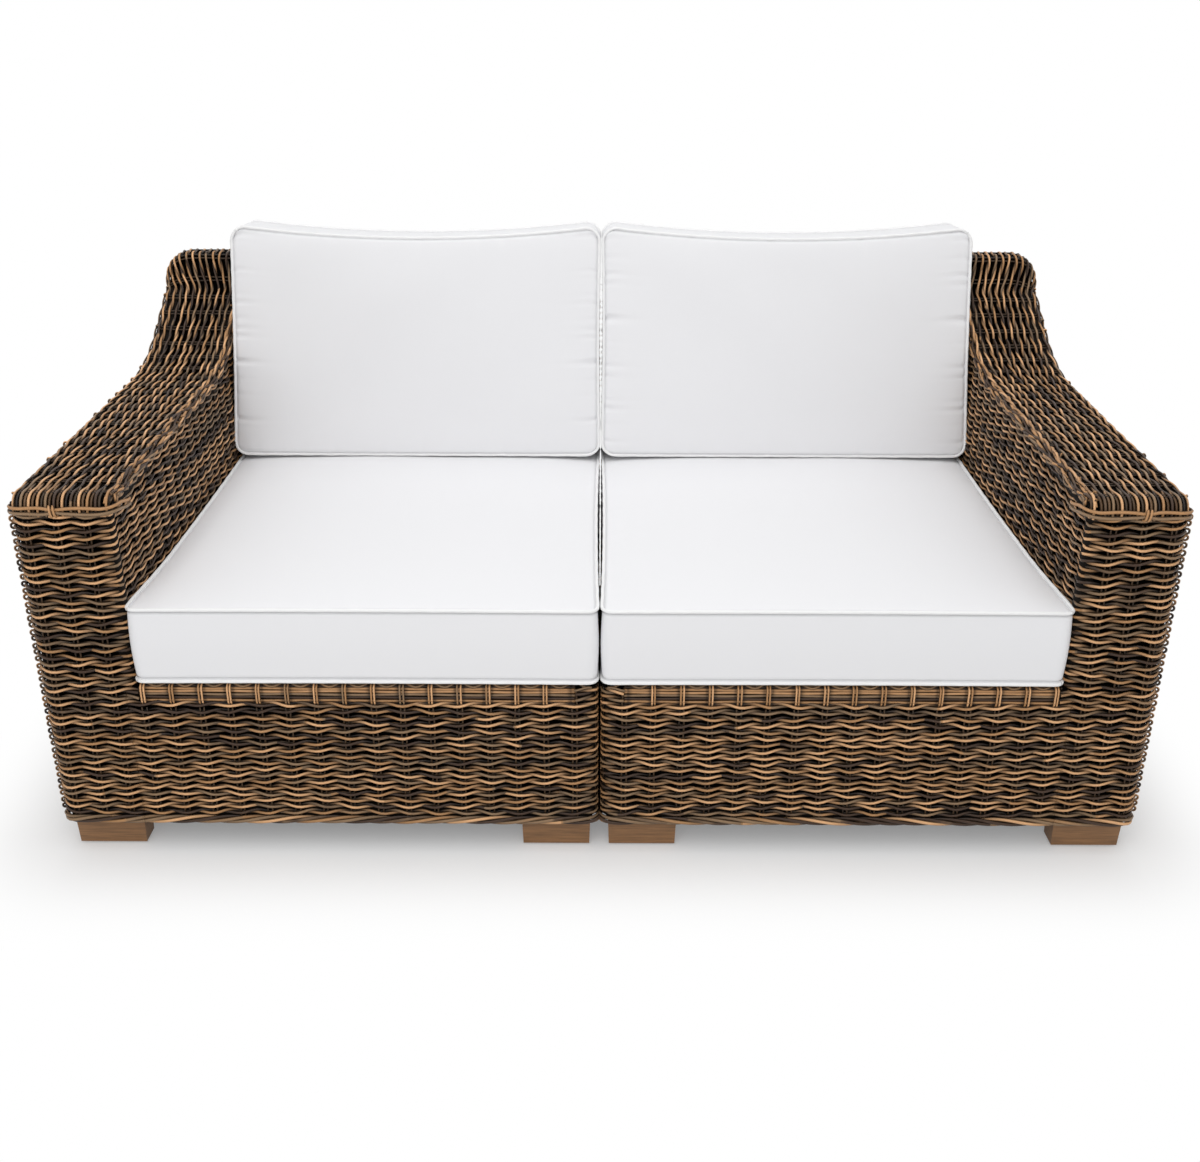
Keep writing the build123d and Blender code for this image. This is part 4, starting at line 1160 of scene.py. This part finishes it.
class CushionForm:
    """A boxed cushion in its own axes: X across, Y towards the straight side with the zip,
    Z through its thickness from the lower face."""

    def __init__(self, origin, axes, size, crowns, rise, far_bow, corner, pushed, seed):
        self.origin = np.array(origin)
        self.axes = np.array(((1.0, 0.0, 0.0), *axes))
        self.width, self.length, self.boxing = size
        self.low_crown, self.high_crown = crowns
        self.rise, self.far_bow, self.side_bow = rise, far_bow, math.radians(1.2)
        self.corner = corner
        self.panel_count = 116
        self.swelling, self.taper = pushed
        self.waves = np.random.default_rng(seed).uniform(0, 2 * math.pi, (6, 12))

    def world(self, local):
        return self.origin + (local + self.swell(local)) @ self.axes

    def swell(self, local):
        """Push of an overfull cushion past its seat: forward along its far edge, and
        outward beside the arm, more towards the far corner, where the arm's own corner is
        rounded away. Each is a length times a smooth share along and across. A taper
        draws that side in at the far edge and out at the near one, evenly between."""
        outward, forward = self.swelling
        beside = smooth_step(-local[..., 0], self.width / 2 - 0.060, self.width / 2)
        ahead = smooth_step(-local[..., 1], self.length / 2 - 0.280, self.length / 2) ** 2
        edge = smooth_step(-local[..., 1], self.length / 2 - 0.040, self.length / 2)
        across = np.clip(0.5 - local[..., 0] / self.width, 0, 1)
        along = np.clip(0.5 + local[..., 1] / self.length, 0, 1)
        widened = across * (self.taper[0] * (1 - along) + self.taper[1] * along)
        return np.stack((-outward * beside * ahead - widened, -forward * edge, 0 * edge), -1)

    def spacing(self, length):
        """Shares of a length, close together beside both of its ends, where the seams'
        grooves are, and even between."""
        near = np.array((0, 1.2, 2.4, 3.4, 4.4, 5.6, 7.5, 10.5)) / 1000
        between = np.linspace(0.0145, length - 0.0145, self.panel_count + 1 - 2 * len(near))
        return np.concatenate((near, between, length - near[::-1])) / length

    def side(self, number, t, rise):
        """Side of the outline at t from 0 to 1, from the middle of one rounded corner to
        the middle of the next: half an arc, a straight drawn in by a parabola, half an
        arc. Sides go far, right, near, left."""
        half_x, far, near = self.width / 2, -self.length / 2 - rise, self.length / 2 - rise
        span = (2 * half_x, near - far)[number % 2]
        radius = self.corner
        arc = radius * math.pi / 4
        flat = span - 2 * radius
        whole = flat + 2 * arc
        s = t * whole
        angle = np.clip((arc - np.minimum(s, whole - s)) / radius, 0, math.pi / 4)
        middle = np.clip(s - arc, 0, flat)
        ends = np.where(s < whole / 2, -1, 1)
        along = middle + radius + ends * radius * np.sin(angle)
        bow = (self.far_bow, self.side_bow, 0.0, self.side_bow)[number]
        share = middle / flat
        inward = radius * (1 - np.cos(angle)) + flat * math.tan(bow / 2) * 2 * share * (1 - share)
        if number == 0:
            return np.stack((-half_x + along, far + inward), -1)
        if number == 1:
            return np.stack((half_x - inward, far + along), -1)
        if number == 2:
            return np.stack((half_x - along, near - inward), -1)
        return np.stack((-half_x + inward, near - along), -1)

    def ring(self, rise, count):
        """The whole outline as a closed ring of count places a side."""
        t = np.arange(count) / count
        return np.concatenate([self.side(number, t, rise) for number in range(4)])

    def folds(self, distance, row):
        """Sharp little folds along a seam: the square of a sum of sines with wavelengths
        from 17 to 90 mm."""
        lengths = np.array((0.017, 0.023, 0.031, 0.042, 0.06, 0.09))
        phases = self.waves[:, row]
        total = np.sin(distance[..., None] * 2 * math.pi / lengths + phases).sum(-1) / 3.2
        return np.clip(total, 0, None) ** 1.6

    def panel(self, rise, z_seam, crown, up, folds, rounding):
        """One face: the outline's four sides blended inwards as a Coons patch, raised by
        crown * ((1 - a^p)(1 - b^p))^q, where a and b go from 0 in the middle to 1 at the
        sides, less the folds, which die away from the seam."""
        t_x, t_y = self.spacing(self.width), self.spacing(self.length)
        far, right = self.side(0, t_x, rise), self.side(1, t_y, rise)
        near, left = self.side(2, 1 - t_x, rise), self.side(3, 1 - t_y, rise)
        u, v = np.meshgrid(t_x, t_y, indexing="ij")
        u1, v1 = u[..., None], v[..., None]
        flat = (1 - v1) * far[:, None] + v1 * near[:, None]
        flat = flat + (1 - u1) * left[None] + u1 * right[None]
        corners = (1 - u1) * (1 - v1) * far[0] + u1 * (1 - v1) * far[-1]
        flat = flat - corners - (1 - u1) * v1 * near[0] - u1 * v1 * near[-1]
        a, b = np.abs(2 * u - 1), np.abs(2 * v - 1)
        dome = ((1 - a**3) * (1 - b**3)) ** rounding
        to_x = np.minimum(u, 1 - u) * self.width
        to_y = np.minimum(v, 1 - v) * self.length
        from_edge = np.minimum(to_x, to_y)
        beside, beyond = (0, 2) if up > 0 else (1, 3)
        crease = np.exp(-to_x / 0.024) * self.folds(v * self.length, beside) * folds[0]
        crease = crease + np.exp(-to_y / 0.020) * self.folds(u * self.width, beyond) * folds[1]
        crease = crease * smooth_step(from_edge, 0.0, 0.006)
        slow = np.sin(u * 7.3 + self.waves[0, 4]) * np.sin(v * 6.1 + self.waves[1, 4])
        slow = slow + 0.5 * np.sin(u * 15 + v * 9 + self.waves[2, 4])
        height = crown * dome - crease + slow * folds[2] * smooth_step(from_edge, 0, 0.12)
        height = height - PANEL_GROOVE * bell(from_edge, SEWN_LINE, 0.0019)
        z = z_seam + up * height
        return np.concatenate((flat, z[..., None]), -1), flat

    def walls(self, raised):
        """The boxing as rings of places at shares of its height, and the distances along
        the lowest one. It bulges by a sine of the height and is pinched and grooved
        beside the seams."""
        t = (self.spacing(self.width)[:-1], self.spacing(self.length)[:-1])
        rings = np.array(
            [
                np.concatenate([self.side(number, t[number % 2], rise) for number in range(4)])
                for rise in self.rise * raised
            ]
        )
        step = np.roll(rings, -1, 1) - np.roll(rings, 1, 1)
        outward = unit(np.stack((step[..., 1], -step[..., 0]), -1))
        steps = np.linalg.norm(np.diff(rings[0], axis=0), axis=1)
        distance = np.concatenate(([0], np.cumsum(steps)))
        share = raised[:, None]
        edge = np.minimum(share, 1 - share) * self.boxing
        full = np.sin(math.pi * share) * np.clip(1 - outward[..., 1] * 2, 0, 1)
        pinch = self.folds(distance, 5) * 0.0012 * np.exp(-edge / 0.014)
        groove = BOXING_GROOVE * bell(edge, 0.0042, 0.0019)
        rings = rings + outward * (full * (0.0028 - pinch) - groove)[..., None]
        z = self.low_crown + self.boxing * share + 0 * rings[..., 0]
        return np.concatenate((rings, z[..., None]), -1), distance, edge

    def cover(self, folds, low_folds):
        """One closed mesh of two panels and the boxing between them."""
        count = self.panel_count
        z_high = self.low_crown + self.boxing
        low, low_uv = self.panel(0, self.low_crown, self.low_crown, -1, low_folds, 0.35)
        high, high_uv = self.panel(self.rise, z_high, self.high_crown, 1, folds, 0.62)
        near = np.array((0, 1.2, 2.4, 3.4, 4.4, 5.6, 7.5, 11.0)) / 1000 / self.boxing
        raised = np.concatenate((near, np.linspace(0.16, 0.84, 7), 1 - near[::-1]))
        levels = len(raised) - 1
        boxing, distance, edge = self.walls(raised)
        side = 4 * count
        total = (count + 1) ** 2
        index = np.arange(total).reshape(count + 1, count + 1)
        border = np.concatenate((index[:-1, 0], index[-1, :-1], index[:0:-1, -1], index[0, :0:-1]))
        verts = np.concatenate([face.reshape(-1, 3) for face in (low, high, boxing[1:-1])])
        to_x, to_y = (
            np.minimum(self.spacing(size), 1 - self.spacing(size)) * size
            for size in (self.width, self.length)
        )
        on_panel = np.minimum(to_x[:, None], to_y).ravel()
        on_wall = np.broadcast_to(edge, boxing.shape[:2])[1:-1].ravel()
        from_seam = np.concatenate((on_panel, on_panel, on_wall))
        ids = np.empty((levels + 1, side), int)
        ids[0], ids[-1] = border, border + total
        ids[1:-1] = 2 * total + np.arange((levels - 1) * side).reshape(levels - 1, side)
        after = np.roll(ids, -1, 1)
        walls = np.stack((ids[:-1], after[:-1], after[1:], ids[1:]), -1).reshape(-1, 4)
        tiles = np.stack((index[:-1, :-1], index[1:, :-1], index[1:, 1:], index[:-1, 1:]), -1)
        tiles = tiles.reshape(-1, 4)
        quads = np.concatenate((tiles[:, ::-1], tiles + total, walls))
        run = np.concatenate((distance, [distance[-1] + 0.001]))
        wall_u = np.stack((run[:-1], run[1:], run[1:], run[:-1]), -1)
        heights = raised * self.boxing
        wall_v = np.stack((heights[:-1], heights[:-1], heights[1:], heights[1:]), -1)
        shape = (levels, side, 4)
        wall_uv = (np.broadcast_to(wall_u, shape), np.broadcast_to(wall_v[:, None], shape))
        wall_uv = np.stack(wall_uv, -1).reshape(-1, 4, 2)
        low_flat, high_flat = low_uv.reshape(-1, 2), high_uv.reshape(-1, 2)
        uv = np.concatenate((low_flat[tiles[:, ::-1]], high_flat[tiles], wall_uv))
        return {
            "verts": self.world(verts),
            "quads": quads,
            "uv": uv,
            "caps": np.zeros((0, 5), int),
            "tone": np.zeros(len(verts)),
            # Painted shade along the sewn line beside each welt
            "painted_shade": bell(from_seam, SEWN_LINE, 0.0020),
            "slot": 0,
        }

    def welts(self, radius):
        """Closed round tubes along both seams."""
        parts = []
        z_high = self.low_crown + self.boxing
        for rise, height, lean in ((0, self.low_crown, -0.4), (self.rise, z_high, 0.4)):
            ring = self.ring(rise, 110)
            ring = np.concatenate((ring, ring[:2]))
            step = np.gradient(ring, axis=0)
            out = unit(np.stack((step[:, 1], -step[:, 0], 0 * step[:, 0]), -1))
            wobble = 0.00025 * np.sin(np.arange(len(ring)) * 0.9)
            line = np.concatenate((ring, np.full((len(ring), 1), height)), -1)
            line = line + out * (0.0009 + wobble)[:, None] + np.array((0, 0, lean * 0.0025))
            line[-2:] = line[:2]
            outward = unit(out + (0, 0, lean))
            outward[-2:] = outward[:2]
            line, outward = self.world(line)[None], (outward @ self.axes)[None]
            kept = everywhere(line)
            parts.append(tubes(line, outward, radius, radius, kept, 0.5, sides=10))
        return parts

    def build(self, name, mirrored, folds, low_folds):
        """The cushion's two pieces, which ride on the body of the same name."""
        settings, cloth, welt_cloth = cushion_materials()
        parts = [self.cover(folds, low_folds)]
        cover = make_piece(f"{name}_canvas", parts, (cloth,), name, mirrored)
        cover.data.uv_layers[0].name = "cloth"
        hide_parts(f"{name}_cover", f"{name}_foam_core")
        welts = self.welts(settings.welt)
        piping = make_piece(f"{name}_welts", welts, (welt_cloth,), name, mirrored)
        piping.data.uv_layers[0].name = "cloth"
        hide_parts(name + "_piping")


def cushion_materials():
    """The cushions' settings, and the materials of their covers and of their welts, which
    all four share."""
    settings = bpy.context.scene.loveseat_cushions
    # The piping's lighter colour is a painted highlight on the same canvas
    looks = (("acrylic_canvas", settings.canvas, 0.9), ("canvas_piping_painted_light", settings.piping, 0.85))
    cloths = (
        bpy.data.materials.get(name) or canvas(name, colour, settings.thread, roughness)
        for name, colour, roughness in looks
    )
    return settings, *cloths


def make_seat_cushions():
    """Two boxed seat cushions, nearly flat on top."""
    crown = bpy.context.scene.loveseat_cushions.seat_crown
    rear = face_y(seat_z) - CAD_PLAY - CAD_WELT
    length = rear - y_front - CAD_WELT
    width = x_seam - x_arm - 2 * (CAD_PLAY + CAD_WELT)
    origin = ((x_seam + x_arm) / 2, rear - length / 2, seat_z + CAD_PLAY)
    for number, side in enumerate(SIDES):
        form = CushionForm(
            origin,
            axes=((0, 1, 0), (0, 0, 1)),
            size=(width, length, SEAT_BOXING),
            crowns=(0.005, crown),
            rise=0,
            far_bow=math.radians(0.6),
            corner=0.015,
            pushed=((0.007, 0.004), (0.0, 0.0)),
            seed=61 + number,
        )
        folds = (0.0012, 0.0012, 0.0010)
        form.build(f"{side}_seat_cushion", side == "right", folds, (0, 0, 0))


def make_back_cushions():
    """Two leaning back cushions whose upper edge sags between its corners."""
    crown = bpy.context.scene.loveseat_cushions.back_crown
    width, height, boxing = 0.748, 0.4600, 0.112
    bottom = seat_z + 0.005 + SEAT_BOXING + 0.0155 + 2 * CAD_PLAY
    front = face_y(bottom) - (boxing + 2 * 0.014 + CAD_PLAY) / math.cos(LEAN)
    down = np.array((0, -math.sin(LEAN), -math.cos(LEAN)))
    rearward = np.array((0, math.cos(LEAN), -math.sin(LEAN)))
    low = np.array((x_seam - CAD_PLAY - CAD_WELT - width / 2, front, bottom))
    for number, side in enumerate(SIDES):
        form = CushionForm(
            low - down * (height / 2 + CAD_WELT),
            axes=(down, rearward),
            size=(width, height, boxing),
            crowns=(crown, crown),
            rise=0.012,
            far_bow=math.radians(6.7),
            corner=0.026,
            pushed=((0.0, 0.0), (-0.0065, 0.0125)),
            seed=71 + number,
        )
        folds = (0.0052, 0.0020, 0.0020)
        form.build(f"{side}_back_cushion", side == "right", folds, folds)


# Frame, feet and fastenings


def finish_frame():
    """Procedural finishes on every CAD node that still shows."""
    colours = bpy.context.scene.loveseat_frame
    powder = grained_solid("powder_coated_aluminium", colours.powder, 0.8, 0.0, 0.8, 0.1)
    powder_tree = powder.node_tree
    set_sockets(powder_tree, powder_tree.nodes["Principled BSDF"], {"Specular IOR Level": 0.12})
    wood = grained_wood(colours.wood)
    black = grained_solid("moulded_polyethylene", linear("#15130F")[:3], 0.6, 0.0, 1.5, 0.1)
    zinc = grained_solid("zinc_plated_steel", linear("#B9B8B2")[:3], 0.36, 1.0, 2.0, 0.02)
    tape = grained_solid("zip_tape_weave", linear("#DADADA")[:3], 0.85, 0.0, 1.2, 0.15)
    finishes = (
        (("_base_frame", "_seat_frame", "_arm_frame", "_back_frame", "_seat_slats"), powder),
        (("_feet",), wood),
        (("_foot_glides",), black),
        (("_screws", "connector_jaws", "connector_blades", "_zip_slider"), zinc),
        (("_zip_tape",), tape),
    )
    for name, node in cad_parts.items():
        for endings, material in finishes:
            if name.endswith(endings):
                for place in node.material_slots:
                    place.material = material
                if not node.material_slots:
                    node.data.materials.append(material)


def set_stage():
    """White floor, soft light from all round and above, and the camera."""
    settings = bpy.context.scene.loveseat_stage
    scene = bpy.context.scene
    size = 40.0
    mesh = bpy.data.meshes.new("floor")
    corners = [(-size, -size, 0), (size, -size, 0), (size, size, 0), (-size, size, 0)]
    mesh.from_pydata(corners, [], [(0, 1, 2, 3)])
    floor = bpy.data.objects.new("floor", mesh)
    scene.collection.objects.link(floor)
    mesh.materials.append(floor_material(settings))

    world = bpy.data.worlds.new("studio")
    scene.world = world
    world.use_nodes = True
    tree = world.node_tree
    seen = seen_directly(tree)
    strength = add_node(tree, "MapRange", {"Value": seen, "To Min": settings.sky, "To Max": 1.0})
    set_sockets(tree, tree.nodes["Background"], {"Color": (1, 1, 1, 1), "Strength": strength})

    lamps = (
        ("key", (-0.3, -2.8, 2.9), (0, 0, 0.45), 2.8, 0.92),
        ("overhead", (0.0, 0.0, 3.4), (0, 0, 0.3), 3.2, 0.62),
    )
    for name, place, aim, width, power_share in lamps:
        lamp = bpy.data.lights.new(name, "AREA")
        lamp.energy, lamp.size = settings.key_power * power_share, width
        holder = bpy.data.objects.new(name, lamp)
        towards = np.array(aim) - np.array(place)
        pitch = math.atan2(math.hypot(towards[0], towards[1]), -towards[2])
        holder.location = place
        holder.rotation_euler = (pitch, 0, math.atan2(-towards[0], towards[1]))
        scene.collection.objects.link(holder)

    data = bpy.data.cameras.new("camera")
    data.sensor_fit, data.sensor_width, data.lens = "HORIZONTAL", 36.0, LENS
    camera = bpy.data.objects.new("camera", data)
    scene.collection.objects.link(camera)
    pitched = Matrix.Rotation(math.pi / 2 - CAMERA_DOWN, 4, "X")
    rolled = Matrix.Rotation(CAMERA_ROLL, 4, "Z")
    camera.matrix_world = Matrix.Translation(CAMERA_PLACE) @ pitched @ rolled
    scene.camera = camera
    scene.view_settings.view_transform = "Standard"


def seen_directly(tree):
    """1 for rays from the camera, by way of a mirror or through glass, and 0 for others."""
    path = add_node(tree, "LightPath").outputs
    seen = path["Is Camera Ray"]
    for kind in ("Is Glossy Ray", "Is Transmission Ray"):
        seen = add_node(tree, "Math", {0: seen, 1: path[kind]}, operation="MAXIMUM").outputs[0]
    return seen


def floor_material(settings):
    """Painted studio floor: white, matt, with the object's soft shadow on it. Its shaded
    part gives way to plain white with distance, so no horizon shows."""
    paint = {"Roughness": 0.9, "Base Color": (*settings.floor, 1), "Specular IOR Level": 0.1}
    material, tree, shader, spot = new_material("matt_white_floor", paint)
    # Distance from the footprint: the length of (|x|, |y|) past its half sizes
    past = add_node(tree, "VectorMath", {0: spot}, operation="ABSOLUTE")
    past = add_node(tree, "VectorMath", {0: past, 1: (0.86, 0.43, 0.0)}, operation="SUBTRACT")
    past = add_node(tree, "VectorMath", {0: past, 1: (0.0, 0.0, 0.0)}, operation="MAXIMUM")
    far = add_node(tree, "VectorMath", {0: past}, operation="LENGTH").outputs["Value"]
    fade = add_node(
        tree,
        "MapRange",
        {"Value": far, "From Max": 0.34, "To Min": 0.22},
        interpolation_type="SMOOTHERSTEP",
    )
    # Cameras, mirrors and glass see plain white there; other rays meet it as paint
    seen = add_node(tree, "Math", {0: seen_directly(tree), 1: fade}, operation="MULTIPLY")
    white = add_node(tree, "Emission", {"Color": (1, 1, 1, 1), "Strength": 1.0})
    mix = add_node(tree, "MixShader", {0: seen, 1: shader, 2: white})
    set_sockets(tree, tree.nodes["Material Output"], {"Surface": mix})
    return material


# Operators, panel and registration


class Maker:
    """Makes its pieces with its own function."""

    def execute(self, context):
        self.make()
        return {"FINISHED"}


class LOVESEAT_OT_walls(Maker, Operator):
    """Weave the upright faces of both modules"""

    bl_idname = "loveseat.walls"
    bl_label = "Upright weave"
    make = staticmethod(weave_walls)


class LOVESEAT_OT_arms(Maker, Operator):
    """Weave the caps of the arms and wings"""

    bl_idname = "loveseat.arms"
    bl_label = "Arm caps"
    make = staticmethod(weave_arms)


class LOVESEAT_OT_backs(Maker, Operator):
    """Weave the inner faces and tops of the backs"""

    bl_idname = "loveseat.backs"
    bl_label = "Backs"
    make = staticmethod(weave_backs)


class LOVESEAT_OT_rails(Maker, Operator):
    """Wrap the front seat rails"""

    bl_idname = "loveseat.rails"
    bl_label = "Wrapped seat rails"
    make = staticmethod(wrap_rails)


class LOVESEAT_OT_seat_cushions(Maker, Operator):
    """Make the seat cushions with their welts"""

    bl_idname = "loveseat.seat_cushions"
    bl_label = "Seat cushions"
    make = staticmethod(make_seat_cushions)


class LOVESEAT_OT_back_cushions(Maker, Operator):
    """Make the back cushions with their welts"""

    bl_idname = "loveseat.back_cushions"
    bl_label = "Back cushions"
    make = staticmethod(make_back_cushions)


class LOVESEAT_OT_finishes(Maker, Operator):
    """Finish the frame, feet and fastenings"""

    bl_idname = "loveseat.finishes"
    bl_label = "Frame and feet"
    make = staticmethod(finish_frame)


class LOVESEAT_OT_stage(Maker, Operator):
    """Lay the floor and set the light and the camera"""

    bl_idname = "loveseat.stage"
    bl_label = "Stage"
    make = staticmethod(set_stage)


class LOVESEAT_PT_panel(Panel):
    """Lists the loveseat's pieces and their settings"""

    bl_idname = "LOVESEAT_PT_panel"
    bl_label = "Loveseat"
    bl_space_type = "VIEW_3D"
    bl_region_type = "UI"
    bl_category = "Loveseat"

    def draw(self, context):
        layout = self.layout
        for operator in OPERATORS:
            layout.operator(operator.bl_idname)
        for name, group in SETTINGS.items():
            box = layout.box()
            box.label(text=group.__doc__)
            for key in group.__annotations__:
                box.prop(getattr(context.scene, name), key)


OPERATORS = (
    LOVESEAT_OT_stage,
    LOVESEAT_OT_walls,
    LOVESEAT_OT_arms,
    LOVESEAT_OT_backs,
    LOVESEAT_OT_rails,
    LOVESEAT_OT_seat_cushions,
    LOVESEAT_OT_back_cushions,
    LOVESEAT_OT_finishes,
)
SETTINGS = {
    "loveseat_weave": WeaveSettings,
    "loveseat_cushions": CushionSettings,
    "loveseat_frame": FrameSettings,
    "loveseat_stage": StageSettings,
}
CLASSES = (*SETTINGS.values(), *OPERATORS, LOVESEAT_PT_panel)


def register():
    for kind in CLASSES:
        bpy.utils.register_class(kind)
    for name, group in SETTINGS.items():
        setattr(bpy.types.Scene, name, PointerProperty(type=group))


def unregister():
    for name in SETTINGS:
        delattr(bpy.types.Scene, name)
    for kind in reversed(CLASSES):
        bpy.utils.unregister_class(kind)


def main():
    register()
    for operator in OPERATORS:
        getattr(bpy.ops.loveseat, operator.bl_idname.partition(".")[2])()


if __name__ == "__main__":
    main()
